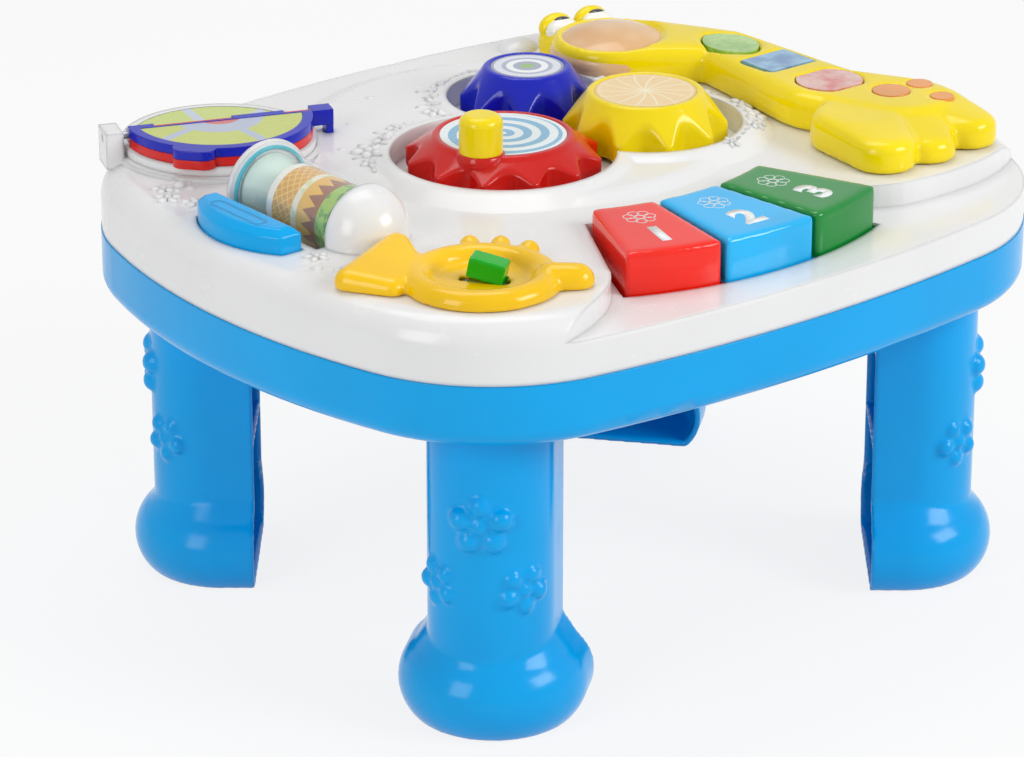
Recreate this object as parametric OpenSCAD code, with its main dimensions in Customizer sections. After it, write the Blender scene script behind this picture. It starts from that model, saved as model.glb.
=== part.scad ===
// Play table for a toddler: hollow white deck on a blue skirt, four D-section
// plug-in legs, three meshing gears, piano keys, drum roller, flip book,
// press bar, fish with a slider and a lying giraffe with three press lenses.
// Units are mm, +Z is up, the table stands on z = 0, long side along X.

/* [Table top] */
// half width of the table top at the seam, side to side
half_x = 184; // [150:1:230]
// half depth of the table top at the seam, front to back
half_y = 155.8; // [120:0.1:200]
// radius of the bowed left and right sides
side_rx = 323.2; // [250:0.1:900]
// radius of the bowed front and back sides
side_ry = 692.7; // [300:0.1:1500]
// radius of the four plan corners
corner_r = 80.7; // [40:0.1:110]
// height of the seam between the white deck and the blue skirt
seam_z = 160; // [120:1:220]
// height of the lowest edge of the skirt
skirt_z = 133; // [90:1:200]
// height of the main white surface
deck_z = 186; // [150:1:260]
// height of the lower ledge round the piano keys
ledge_z = 176; // [145:1:250]
// radius of the soft shoulder round the deck
shoulder_r = 12; // [4:0.5:20]
// wall thickness of the mouldings
wall = 2.6; // [1.8:0.1:4]

/* [Legs] */
// angle of a leg from the long axis of the table
leg_angle = 39.5; // [25:0.5:60]
// distance of a leg's flat open side from the middle of the table
leg_cut = 132.5; // [90:0.5:160]
// radius of the round front of the leg column
leg_r = 26; // [15:0.5:40]
// how far the column's round centre lies outside the flat side
leg_off = 19; // [5:0.5:40]
// widest radius of the bulb foot
foot_r = 39; // [25:0.5:60]
// height of the bulb foot
foot_h = 38; // [20:0.5:60]

/* [Gears] */
// tip radius of the red crank gear
red_tip = 42; // [30:0.5:60]
// tip radius of the yellow gear
yel_tip = 35.5; // [25:0.5:50]
// tip radius of the blue gear
blu_tip = 29.3; // [20:0.1:40]
// how deep the teeth run into each other
mesh_depth = 4.4; // [3:0.1:5]
// radius of the round gap between two teeth
bite_r = 7; // [5:0.1:8]
// running clearance of a gear on its post
gear_fit = 0.08; // [0.04:0.01:0.3]
// height of the top face of the red gear
red_top = 199; // [190:0.5:210]
// height of the top face of the yellow and blue gears
tall_top = 204.5; // [195:0.5:215]

/* [Piano keys] */
// inner radius of the key fan
key_ri = 111; // [80:0.5:140]
// outer radius of the key fan
key_ro = 166; // [120:0.5:190]
// height of the key tops
key_z = 194; // [180:0.5:205]
// clearance round a key
key_gap = 0.9; // [0.4:0.1:2]

/* [Roller, book, bar] */
// radius of the clear drum
drum_r = 17; // [10:0.5:25]
// height of the drum's axis
drum_z = 190; // [180:0.5:205]
// radius of the book pages
page_r = 40; // [25:0.5:50]
// height of the book's hinge pin
pin_z = 196.2; // [190:0.1:205]
// thickness of one page
page_t = 3.9; // [2:0.1:6]
// height of the press bar's top
bar_z = 196; // [188:0.5:205]

/* [Hidden] */
eps = 0.02;

// ---- plan outline: four bowed sides joined by tangent corner arcs ----
ox_a = [half_x - side_rx, 0];
ox_b = [0, half_y - side_ry];
ra = side_rx - corner_r;
rb = side_ry - corner_r;
oab = norm(ox_b - ox_a);
otan = (ra * ra - rb * rb + oab * oab) / (2 * oab);
ohgt = sqrt(ra * ra - otan * otan);
oun = (ox_b - ox_a) / oab;
oc1 = ox_a + oun * otan + ohgt * [-oun[1], oun[0]];
oc2 = ox_a + oun * otan - ohgt * [-oun[1], oun[0]];
cc = oc1[0] > oc2[0] ? oc1 : oc2;
ang_a = atan2(cc[1] - ox_a[1], cc[0] - ox_a[0]);
ang_b = atan2(cc[1] - ox_b[1], cc[0] - ox_b[0]);

function polar(c, r, a) = [c[0] + r * cos(a), c[1] + r * sin(a)];
function bez(p, n) = [for (i = [1:n]) let (t = i / n, s = 1 - t)
  s * s * s * p[0] + 3 * s * s * t * p[1] + 3 * s * t * t * p[2] + t * t * t * p[3]];

// half profile of height z0..z1 and radius r, its top edge rounded by rt
module round_profile(r, z0, z1, rt) {
  translate([0, z0]) square([r, z1 - z0 - rt]);
  if (rt > 0) {
    translate([0, z1 - rt - 1]) square([r - rt, rt + 1]);
    translate([r - rt, z1 - rt]) circle(rt, $fn = 48);
  }
}
// the sector that a corner fills, turned about the corner's centre; the other
// three are mirrored, so that all meet the sides on exactly the same planes
module corner_sector() translate([cc[0], cc[1], 0]) rotate([0, 0, ang_a])
  rotate_extrude(angle = ang_b - ang_a, $fn = 96) children();
module four_corners() {
  corner_sector() children();
  mirror([1, 0, 0]) corner_sector() children();
  mirror([0, 1, 0]) corner_sector() children();
  mirror([1, 0, 0]) mirror([0, 1, 0]) corner_sector() children();
}
// the table's outline drawn in by off, as a body with rounded edges
module plan_body(off, z0, z1, rt = 0) {
  difference() {
    intersection() {
      translate([half_x - side_rx, 0, 0]) rotate_extrude($fn = 180) round_profile(side_rx - off, z0, z1, rt);
      translate([side_rx - half_x, 0, 0]) rotate_extrude($fn = 180) round_profile(side_rx - off, z0, z1, rt);
      translate([0, half_y - side_ry, 0]) rotate_extrude($fn = 180) round_profile(side_ry - off, z0, z1, rt);
      translate([0, side_ry - half_y, 0]) rotate_extrude($fn = 180) round_profile(side_ry - off, z0, z1, rt);
    }
    four_corners() square([260, 320]);
  }
  four_corners() round_profile(corner_r - off, z0, z1, rt);
}

// the same outline as plain points, for the hollows inside
function arc_pts(c, r, a0, a1, n) = [for (i = [0:n - 1]) let (t = a0 + (a1 - a0) * (i + 0.5) / n) c + r * [cos(t), sin(t)]];
function plan_pts(off) = concat(
  arc_pts([half_x - side_rx, 0], side_rx - off, -ang_a, ang_a, 8),
  arc_pts([cc[0], cc[1]], corner_r - off, ang_a, ang_b, 8),
  arc_pts([0, half_y - side_ry], side_ry - off, ang_b, 180 - ang_b, 10),
  arc_pts([-cc[0], cc[1]], corner_r - off, 180 - ang_b, 180 - ang_a, 8),
  arc_pts([side_rx - half_x, 0], side_rx - off, 180 - ang_a, 180 + ang_a, 8),
  arc_pts([-cc[0], -cc[1]], corner_r - off, 180 + ang_a, 180 + ang_b, 8),
  arc_pts([0, side_ry - half_y], side_ry - off, 180 + ang_b, 360 - ang_b, 10),
  arc_pts([cc[0], -cc[1]], corner_r - off, 360 - ang_b, 360 - ang_a, 8));
module plan_core(off, z0, z1) translate([0, 0, z0]) linear_extrude(height = z1 - z0) polygon(plan_pts(off));

// the same with the bottom edge rounded instead
module plan_tray(off, z0, z1, rb = 0)
  translate([0, 0, z0 + z1]) mirror([0, 0, 1]) plan_body(off, z0, z1, rb);

// ---- places ----
key_c = [2.2, 30.4];
red_c = [-23.8, 11.4];
yel_c = red_c + (red_tip + yel_tip - mesh_depth) * [cos(-5.3), sin(-5.3)];
blu_dir = 107.8;
blu_c = yel_c + (yel_tip + blu_tip - mesh_depth) * [cos(blu_dir), sin(blu_dir)];
fish_c = [-119.5, -94];
fish_a = -53;
drum_x = -125;
drum_y0 = -21;
drum_y1 = 42;
disc_r = 20.5;
bar_x = -151.5;
bar_y = 10.2;
book_c = [-106.5, 101];
book_a = -21.25;
well_z = 180;
post_r = 4.5;
red_n = 12;
yel_n = 10;
blu_n = 8;
// mesh phases: a gap of the red gear faces a tooth of the yellow one, and so on
red_ph = -5.3;
yel_ph = red_ph + 180 + 180 / yel_n;
yf = (blu_dir - yel_ph) * yel_n / 360;
blu_ph = blu_dir + 180 + (yf - floor(yf)) * 360 / blu_n + 180 / blu_n;

// ---- deck ----
module ledge_plan(g) {
  left0 = polar(key_c, key_ri - 2.4 - g, -90 - 25.6 - g * 0.5);
  rght0 = polar(key_c, key_ri - 2.4 - g, -90 + 23.4 + g * 0.5);
  backs = [for (i = [0:12]) polar(key_c, key_ri - 2.4 - g, -90 + 23.4 + g * 0.5 - i * (49 + g) / 12)];
  l1 = polar(key_c, key_ro - 6, -90 - 26.8 - g * 0.4);
  polygon(concat(backs,
    [l1],
    bez([l1, l1 + [-6, -14], [-104, -143 + g], [-134, -147 + g]], 12),
    [[-134, -240], [240, -240], [240, -84 + g]],
    bez([[184, -84 + g], [160, -112 + g], [130, -117 + g], [96, -114 + g]], 10),
    bez([[96, -114 + g], [76, -112 + g], [62, -96 + g], rght0 + [6, -6]], 10)));
}
module ledge_cut(g, z) translate([0, 0, z]) linear_extrude(height = 60) ledge_plan(g);
module at(c, z) translate([c[0], c[1], z]) children();

// low mound that carries a gear well: sloping flank, rounded lip
module lip(c, r, sunk) at(c, deck_z) rotate_extrude($fn = 96)
  polygon([[0, -sunk], [r + 15, -sunk], [r + 15, -0.5], [r + 5, 4.5], [r + 3.2, 5], [0, 5]]);
module flower(c, z, s, turn) at(c, z) {
  sphere(r = 2.6 * s, $fn = 32);
  for (k = [0:4]) rotate([0, 0, turn + 72 * k]) translate([5.4 * s, 0, -1.5 * s]) sphere(r = 3 * s, $fn = 32);
}
module gear_wells(g, zf) {
  at(red_c, zf) cylinder(r = red_tip + 6 + g, h = 40, $fn = 96);
  at(yel_c, zf) cylinder(r = yel_tip + 6.5 + g, h = 40, $fn = 96);
  at(blu_c, zf) cylinder(r = blu_tip + 6 + g, h = 40, $fn = 96);
}
module key_slot(g, z0, h) at(key_c, z0) rotate([0, 0, -90 - 25.3 - g * 0.5])
  rotate_extrude(angle = 48.2 + g, $fn = 96) translate([key_ri - key_gap - g, 0]) square([key_ro - key_ri + 2 * key_gap + 2 * g, h]);
module bar_plan(g) intersection() {
  translate([-123.5, bar_y]) circle(48 + g, $fn = 96);
  translate([bar_x - 30, bar_y - 28.8 - g]) square([30 + g, 57.6 + 2 * g]);
}
module stadium(l, r) {
  translate([-r, -l / 2]) square([2 * r, l]);
  for (k = [-1, 1]) translate([0, k * l / 2]) circle(r, $fn = 48);
}
module bar_slot(g, z0, h) translate([0, 0, z0]) linear_extrude(height = h) bar_plan(g);
module drum_trough(g, z0) translate([drum_x - disc_r - 1.5 - g, drum_y0 - 1.2 - g, z0])
  cube([2 * disc_r + 3 + 2 * g, drum_y1 - drum_y0 + 2.4 + 2 * g, 60]);
giraffe_seat = [[118, 36], [118, 5], [118, -28]];

module deck() {
  color([0.93, 0.93, 0.93])
  difference() {
    union() {
      difference() {
        union() {
          difference() {
            plan_body(0.8, seam_z + 0.1, deck_z, shoulder_r);
            ledge_cut(0, ledge_z);
          }
          plan_body(0.8, seam_z + 0.1, ledge_z, 6);
          intersection() {
            at(book_c, seam_z + 0.1) cylinder(r = 44.5, h = 28, $fn = 96);
            plan_body(1.6, seam_z + 0.1, 215);
          }
        }
        // hollow inside of the moulding
        deck_hollow();
      }
      // low round platform of the gears, and the mound round each well
      at([6, 37], 0) rotate_extrude($fn = 120)
        polygon([[0, deck_z - 2], [98, deck_z - 2], [98, deck_z - 0.6], [90, deck_z + 2.4], [87, deck_z + 3], [0, deck_z + 3]]);
      lip(red_c, red_tip + 6, 1.9);
      lip(yel_c, yel_tip + 6.5, 1.7);
      lip(blu_c, blu_tip + 6, 1.5);
      // walls of the wells that hang into the hollow
      gear_well_bodies();
      intersection() {
        translate([0, 0, 166.4]) linear_extrude(height = 18) difference() {
          translate([drum_x - disc_r - 4.1, drum_y0 - 3.8]) square([2 * disc_r + 8.2, drum_y1 - drum_y0 + 7.6]);
        }
        plan_body(2, seam_z, deck_z - 1, 8);
      }
      bar_slot(3, 176, 9);
      difference() {
        key_slot(2.6, 168, 7);
        key_slot(0, 160, 30);
      }
      drum_dome();
      // lug that carries the far end of the drum's axle
      translate([drum_x, drum_y1 + 1.4, 0]) rotate([-90, 0, 0]) linear_extrude(height = 6) {
        translate([0, -drum_z]) circle(5.4, $fn = 48);
        translate([-5.4, -drum_z]) square([10.8, drum_z - deck_z + 4]);
      }
      book_ear();
      flowers();
      gear_posts();
      deck_bosses();
    }
    gear_wells_cut();
    drum_trough(0, 169);
    bar_slot(0.5, 160, 50);
    key_slot(0, 160, 50);
    deck_holes();
  }
  color([0.93, 0.93, 0.93]) {
    key_shelf();
    key_ears();
  }
}
module deck_hollow() {
  translate([0, 0, seam_z - 2]) linear_extrude(height = 13.4) polygon(plan_pts(wall + 0.8));
  translate([0, 0, seam_z + 10]) linear_extrude(height = 3.4) polygon(plan_pts(wall + 4.2));
  translate([0, 0, seam_z + 9]) linear_extrude(height = 9) difference() {
    polygon(plan_pts(wall + 1.3));
    ledge_plan(wall);
  }
  translate([0, 0, seam_z + 8.6]) linear_extrude(height = 12.8) difference() {
    polygon(plan_pts(wall + 3.7));
    ledge_plan(wall + 0.2);
  }
  translate([0, 0, seam_z + 8.2]) linear_extrude(height = deck_z - wall - seam_z - 8.2) difference() {
    polygon(plan_pts(wall + 6.9));
    ledge_plan(wall + 0.4);
  }
}
module gear_well_bodies() intersection() {
  union() {
    at(red_c, well_z - wall) cylinder(r = red_tip + 6 + wall, h = 10, $fn = 96);
    at(yel_c, well_z - wall) cylinder(r = yel_tip + 6.5 + wall, h = 10, $fn = 96);
    at(blu_c, well_z - wall) cylinder(r = blu_tip + 6 + wall, h = 10, $fn = 96);
  }
  plan_body(4, seam_z, deck_z, 4);
}
// the pocket is cut with a ring left round each post
module gear_wells_cut() difference() {
  union() {
    at(red_c, well_z) cylinder(r = red_tip + 6, h = 40, $fn = 96);
    at(yel_c, well_z) cylinder(r = yel_tip + 6.5, h = 40, $fn = 96);
    at(blu_c, well_z) cylinder(r = blu_tip + 6, h = 40, $fn = 96);
  }
  gear_posts();
}
module gear_posts() for (c = [red_c, yel_c, blu_c]) at(c, well_z - 1) difference() {
  union() {
    cylinder(r = post_r, h = 14.4, $fn = 48);
    cylinder(r = 8, h = 2.9, $fn = 48);
  }
  translate([0, 0, 3]) cylinder(r = 1.45, h = 13, $fn = 24);
}
module drum_dome() translate([drum_x, drum_y0 - 3, drum_z]) intersection() {
  sphere(r = 19.3, $fn = 64);
  translate([-30, -40, -8]) cube([60, 40, 40]);
}
module book_ear() at(book_c, 0) rotate([0, 0, book_a]) difference() {
  translate([-50.5, -7, 184]) cube([7.6, 14, pin_z + 3.6 - 184]);
  translate([-55, 0, pin_z]) rotate([0, 90, 0]) cylinder(r = 1.58, h = 20, $fn = 24);
}
module flowers() {
  flower([-147, 73], deck_z - 0.6, 1, 10);
  flower([-160, -40], deck_z - 1.2, 1, 40);
  flower([-72, 60], deck_z + 1.2, 1, 0);
  flower([-50, 84], deck_z + 1.2, 0.9, 30);
  flower([-22, 106], deck_z + 1.2, 1, 55);
  flower([93.5, 13], deck_z + 1.6, 0.85, 15);
  flower([86, -18], deck_z + 1.6, 0.9, 50);
  flower([66, -40], deck_z + 1.0, 0.8, 20);
}
boss_at = [[-60, 132], [60, 132], [-74, -134], [78, -134], [-168, -34], [166, 0]];
module deck_bosses() for (c = boss_at) at(c, seam_z + 0.1) difference() {
  cylinder(r = 4, h = (c[1] < -110 ? ledge_z : deck_z) - seam_z - 1.2, $fn = 32);
  translate([0, 0, -1]) cylinder(r = 1.3, h = 12, $fn = 24);
}
module deck_holes() {
  // slot under the fish for its slider
  at(fish_c, 170) rotate([0, 0, fish_a]) translate([-9, -2.6, 0]) cube([20, 5.2, 30]);
  // openings for the three press lenses and the bar and their plungers
  for (c = giraffe_seat) at(c, 170) cylinder(r = 4, h = 40, $fn = 32);
  // bore for the drum's axle in the dome
  translate([drum_x, drum_y0 - 12, drum_z]) rotate([-90, 0, 0]) cylinder(r = 2.04, h = drum_y1 - drum_y0 + 17.5, $fn = 32);
  // seat of the book's base against the flank of the platform
  at(book_c, 188.05) cylinder(r = page_r + 1.7, h = 30, $fn = 96);
  // slot for the strap of the book clip
  at(book_c, 170) rotate([0, 0, book_a]) translate([46.3, -3.1, 0]) cube([3.4, 6.2, 30]);
}

// ---- skirt ----
foot_dir = [leg_angle, 180 - leg_angle, 180 + leg_angle, -leg_angle];
module leg_place(k) rotate([0, 0, foot_dir[k]]) children();
// D section: flat side at leg_cut, round outside
module dee(r, cut) {
  intersection() {
    union() {
      translate([leg_cut + leg_off, 0]) circle(r, $fn = 64);
      translate([leg_cut - 10, -r]) square([leg_off + 10, 2 * r]);
    }
    translate([cut, -60]) square([120, 120]);
  }
}
module skirt() {
  color([0.0, 0.66, 0.93])
  difference() {
    union() {
      difference() {
        plan_tray(0.4, skirt_z, seam_z, 8);
        plan_core(wall + 0.4, skirt_z + 8, seam_z + 5);
        plan_core(wall + 2.4, skirt_z + 5, seam_z + 4);
        plan_core(wall + 6, skirt_z + 3, seam_z + 3);
      }
      for (k = [0:3]) leg_place(k) translate([0, 0, skirt_z + 0.7]) linear_extrude(height = 24.3) dee(leg_r + 2.3, leg_cut - 2.3);
      for (c = boss_at) at(c, skirt_z + 1) cylinder(r = 4, h = seam_z - skirt_z - 1, $fn = 32);
      battery_box();
      // collar round each leg, seen under the edge
      for (k = [0:3]) leg_place(k) translate([0, 0, skirt_z - 2]) linear_extrude(height = 3) intersection() {
        dee(leg_r + 2.3, leg_cut - 2.3);
        square([400, 400], center = true);
      }
      speaker_ring();
      // posts under the circuit board and under the pad of the press bar
      for (c = board_posts) at(c, skirt_z + 1) cylinder(r = 3, h = board_z - skirt_z - 1.03, $fn = 32);
      at(bar_seat, skirt_z + 1) cylinder(r = 5.6, h = board_z + 1.6 - skirt_z - 1.02, $fn = 32);
    }
    for (k = [0:3]) leg_place(k) translate([0, 0, skirt_z - 5]) linear_extrude(height = 27.5) dee(leg_r + 0.15, leg_cut - 0.15);
    for (c = boss_at) at(c, skirt_z - 1) cylinder(r = 1.7, h = 60, $fn = 24);
    for (c = boss_at) at(c, skirt_z - 1) cylinder(r = 3.1, h = 6, $fn = 24);
    battery_hole();
    at(bat_c, skirt_z) translate([31.7, 8.2, -1]) cylinder(r = 1.3, h = 9.5, $fn = 24);
    speaker_holes();
    switch_slot();
  }
  color([0.0, 0.66, 0.93]) at(bat_c, skirt_z) difference() {
    translate([31.7, 8.2, 2.3]) cylinder(r = 3, h = 10, $fn = 32);
    translate([31.7, 8.2, -1]) cylinder(r = 1.3, h = 9.5, $fn = 24);
  }
}
board_posts = [[-64, -90], [-64, -122], [64, -122], [64, -66], [106, 50], [136, 50], [136, -52]];
bat_c = [0, 62];
module battery_box() at(bat_c, skirt_z) difference() {
  translate([-34, -28, 0]) cube([68, 56, 20]);
  translate([-31.6, -25.6, -1]) cube([63.2, 51.2, 18.6]);
}
module battery_hole() at(bat_c, skirt_z) {
  translate([-31.6, -25.6, -1]) cube([63.2, 51.2, 18.6]);
  translate([-34.6, -23, -1]) cube([69.2, 46, 3.2]);
}
spk_c = [0, -20];
module speaker_ring() at(spk_c, skirt_z) difference() {
  cylinder(r = 22.4, h = 7, $fn = 64);
  translate([0, 0, 3]) cylinder(r = 20.2, h = 10, $fn = 64);
}
module speaker_holes() at(spk_c, skirt_z - 1) {
  cylinder(r = 1.5, h = 6, $fn = 24);
  for (ring = [1:2]) for (k = [0:6 * ring - 1]) rotate([0, 0, k * 60 / ring]) translate([6.5 * ring, 0, 0]) cylinder(r = 1.5, h = 6, $fn = 24);
}
sw_c = [-52, 40];
module switch_slot() at(sw_c, skirt_z - 1) translate([-7, -2.6, 0]) cube([14, 5.2, 6]);

// ---- legs ----
module leg_shape() {
  bulb(0, 0);
  translate([0, 0, 20]) linear_extrude(height = skirt_z + 22.4 - 20) dee(leg_r, leg_cut);
}
// bulb foot, g inside its skin: a half revolve with a straight run to the flat side
foot_axis = leg_cut + leg_off - 4;
module foot_profile(g) intersection() {
  union() {
    translate([foot_r - 20, 14.5]) circle(20 - g, $fn = 64);
    square([foot_r - 20, foot_h - g]);
    polygon([[foot_r - 20, foot_h - 7.4], [foot_r - 20, foot_h - g], [leg_r + 0.5 - g, foot_h - g], [foot_r - 7 - g, foot_h - 8.2], [foot_r - 8 - g, foot_h - 14]]);
  }
  translate([0, -1]) square([foot_r, foot_h + 1]);
}
module foot_half(g) intersection() {
  foot_profile(g);
  square([foot_r, foot_h]);
}
module bulb(g, back) {
  translate([foot_axis, 0, 0]) rotate([0, 0, -90]) rotate_extrude(angle = 180, $fn = 96) foot_half(g);
  translate([leg_cut - back, 0, 0]) rotate([90, 0, 90]) linear_extrude(height = foot_axis - leg_cut + back) {
    foot_half(g);
    mirror([1, 0]) foot_half(g);
  }
}
module leg_flower(z, tilt, s) translate([leg_cut + leg_off, 0, z]) rotate([0, 0, tilt]) translate([leg_r - 0.8, 0, 0]) {
  sphere(r = 3.1 * s, $fn = 32);
  for (k = [0:4]) rotate([72 * k + tilt, 0, 0]) translate([-1.2, 0, 6.2 * s]) sphere(r = 3.9 * s, $fn = 32);
}
module leg() {
  color([0.0, 0.66, 0.93])
  difference() {
    union() {
      leg_shape();
      leg_flower(93, 2, 1.34);
      leg_flower(64, -46, 1.12);
      leg_flower(64, 42, 1.12);
    }
    // hollow, open on the flat inner side
    difference() {
      translate([0, 0, wall]) linear_extrude(height = skirt_z + 20 - wall) dee(leg_r - wall, leg_cut - 5);
      translate([leg_cut - 6, -30, 62]) cube([60, 60, 2.2]);
      translate([leg_cut - 6, -30, 104]) cube([60, 60, 2.2]);
    }
    intersection() {
      translate([0, 0, -0.01]) bulb(wall, 5);
      translate([leg_cut - 10, -60, wall]) cube([80, 120, 60]);
    }
  }
}

// ---- gears ----
module gear(tip, top_r, zt, n, ph) {
  difference() {
    rotate_extrude($fn = 96) difference() {
      union() {
        polygon([[0, 182], [tip, 182], [tip, 190.8], [top_r + 1.1, zt - 1.1], [top_r, zt], [0, zt]]);
        translate([top_r - 1.5, zt - 1.5]) circle(1.5, $fn = 32);
      }
      // hollow under the skin, print seat on top
      polygon([[7.2, 181], [tip - 10.2, 181], [tip - 10.2, 190], [top_r - 2.4, zt - 4], [7.2, zt - 4]]);
      translate([0, zt - 0.8]) square([top_r - 2.6, 2]);
      translate([0, 181]) square([post_r + gear_fit, 12.4]);
      translate([0, 193.2]) square([5.6, zt - 193.2 - 2.4 + 0.001]);
    }
    for (k = [0:n - 1]) rotate([0, 0, ph + k * 360 / n]) translate([tip, 0, 170]) cylinder(r = bite_r, h = 60, $fn = 48);
  }
}
knob_r = 9.2;
knob_at = [-22.5, -13.2];
module gear_red() color([0.86, 0.06, 0.05]) at(red_c, 0) {
  difference() {
    union() {
      gear(red_tip, 29.5, red_top, red_n, red_ph);
      at(knob_at, 190) cylinder(r = knob_r + 0.6, h = red_top + 0.5 - 190, $fn = 48);
    }
    at(knob_at, 180) cylinder(r = knob_r - 1.8, h = 15, $fn = 48);
  }
  at(knob_at, red_top) cylinder(r = 3, h = 12, $fn = 32);
}
module gear_yellow() color([0.98, 0.8, 0.05]) at(yel_c, 0) gear(yel_tip, 24.5, tall_top, yel_n, yel_ph);
module gear_blue() color([0.08, 0.12, 0.7]) at(blu_c, 0) gear(blu_tip, 18.6, tall_top, blu_n, blu_ph);
module print_disc(r, zt, t) translate([0, 0, zt - 0.8]) cylinder(r = r, h = t, $fn = 96);
module gear_red_print() color([0.85, 0.95, 1]) at(red_c, 0) difference() {
  print_disc(26.8, red_top, 0.5);
  at(knob_at, red_top - 3) cylinder(r = knob_r + 0.8, h = 10, $fn = 48);
}
module gear_yellow_print() color([1, 0.7, 0.3]) at(yel_c, 0) print_disc(21.8, tall_top, 0.5);
module gear_blue_print() color([0.9, 0.9, 1]) at(blu_c, 0) print_disc(15.9, tall_top, 0.5);
module gear_screws() color([0.75, 0.75, 0.78]) for (c = [red_c, yel_c, blu_c]) at(c, 0) difference() {
  union() {
    translate([0, 0, 193.42]) cylinder(r = 5.3, h = 0.9, $fn = 32);
    translate([0, 0, 194.3]) cylinder(r = 3.2, h = 1.9, $fn = 32);
    translate([0, 0, 184]) cylinder(r = 1.4, h = 10, $fn = 24);
  }
  translate([-0.4, -2, 195.4]) cube([0.8, 4, 2]);
  translate([-2, -0.4, 195.4]) cube([4, 0.8, 2]);
}
module crank_knob() color([0.98, 0.82, 0.05]) at(red_c + knob_at, 0) difference() {
  rotate_extrude($fn = 64) {
    translate([0, red_top + 0.6]) square([knob_r, 12.4]);
    translate([0, red_top + 8]) square([knob_r - 4, 9]);
    translate([knob_r - 4, red_top + 13]) circle(4, $fn = 48);
  }
  translate([0, 0, red_top]) cylinder(r = 3.07, h = 12.4, $fn = 32);
}

// ---- piano keys: radial wedges of one fan ----
key_ang = [[-24.8, -10.25], [-9.65, 6.3], [6.9, 22.1]];
pin_low = 171;
pin_in = 5.5;
// shelf under the inner ends of the keys with two ears for each hinge pin
module key_shelf() {
  at(key_c, 164) rotate([0, 0, -90 - 24.9]) rotate_extrude(angle = 47.4, $fn = 96)
    polygon([[key_ri - key_gap - 2.2, 0], [key_ri + pin_in + 4, 0], [key_ri + pin_in + 4, 3.3], [key_ri - key_gap - 0.4, 3.3], [key_ri - key_gap - 0.4, 8], [key_ri - key_gap - 2.2, 8]]);
}
module key_ears() for (k = [0:2]) at(key_c, 0) rotate([0, 0, -90 + (key_ang[k][0] + key_ang[k][1]) / 2]) difference() {
  for (w = [-11.2, 8.4]) translate([key_ri + pin_in - 2.6, w, 166]) cube([5.4, 2.8, pin_low + 2.6 - 166]);
  translate([key_ri + pin_in, -20, pin_low]) rotate([-90, 0, 0]) cylinder(r = 1.54, h = 40, $fn = 32);
}
module key_wedge(a0, a1, g, z0, zt, rr) at(key_c, 0) rotate([0, 0, -90 + a0 + g / 1.7])
  rotate_extrude(angle = a1 - a0 - 2 * g / 1.7, $fn = 96) {
    translate([key_ri + g, z0]) square([key_ro - key_ri - 2 * g, zt - z0 - rr]);
    translate([key_ri + g + 2, z0]) square([key_ro - key_ri - 2 * g - 2 - rr, zt - z0]);
    translate([key_ro - g - rr, zt - rr]) circle(rr, $fn = 48);
    translate([key_ri + g + 2, zt - 2]) circle(2, $fn = 48);
  }
// rounds the long top edge that lies on the ray at angle a
module key_edge(a, s, zt, rr) at(key_c, 0) rotate([0, 0, -90 + a]) difference() {
  translate([key_ri - 5, s > 0 ? -0.3 : -rr - 0.01, zt - rr]) cube([70, rr + 0.31, rr + 1]);
  translate([key_ri - 6, s * rr, zt - rr]) rotate([0, 90, 0]) cylinder(r = rr, h = 72, $fn = 48);
}
module key(k) {
  a0 = key_ang[k][0];
  a1 = key_ang[k][1];
  difference() {
    union() {
      difference() {
        key_wedge(a0, a1, 0, 168, key_z, 4);
        key_wedge(a0, a1, 2.3, 160, key_z - 2.4, 2);
        key_edge(a0, 1, key_z, 3);
        key_edge(a1, -1, key_z, 3);
      }
      // hinge eye at the inner end and the plunger over the contact pad
      key_eye(k, 3.6);
      at(key_c, 0) rotate([0, 0, -90 + (a0 + a1) / 2]) for (w = [-8, 5.4]) translate([key_ri + 1.5, w, pin_low]) cube([9, 2.6, key_z - 1.5 - pin_low]);
      at(polar(key_c, 146, -90 + (a0 + a1) / 2), 161.2) cylinder(r = 3.5, h = key_z - 162.7, $fn = 32);
    }
    key_eye(k, 1.58);
  }
}
module key_eye(k, r) {
  m = (key_ang[k][0] + key_ang[k][1]) / 2;
  w = r > 2 ? 16 : 60;
  at(key_c, pin_low) rotate([0, 0, -90 + m]) translate([key_ri + pin_in, -w / 2, 0]) rotate([-90, 0, 0]) cylinder(r = r, h = w, $fn = 32);
}
module key_red() color([0.9, 0.1, 0.06]) key(0);
module key_blue() color([0.1, 0.62, 0.9]) key(1);
module key_green() color([0.02, 0.45, 0.15]) key(2);
module key_pins() color([0.75, 0.75, 0.78]) for (k = [0:2]) {
  m = (key_ang[k][0] + key_ang[k][1]) / 2;
  at(key_c, pin_low) rotate([0, 0, -90 + m]) translate([key_ri + pin_in, -11.3, 0]) rotate([-90, 0, 0]) cylinder(r = 1.5, h = 22.6, $fn = 32);
}

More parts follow.
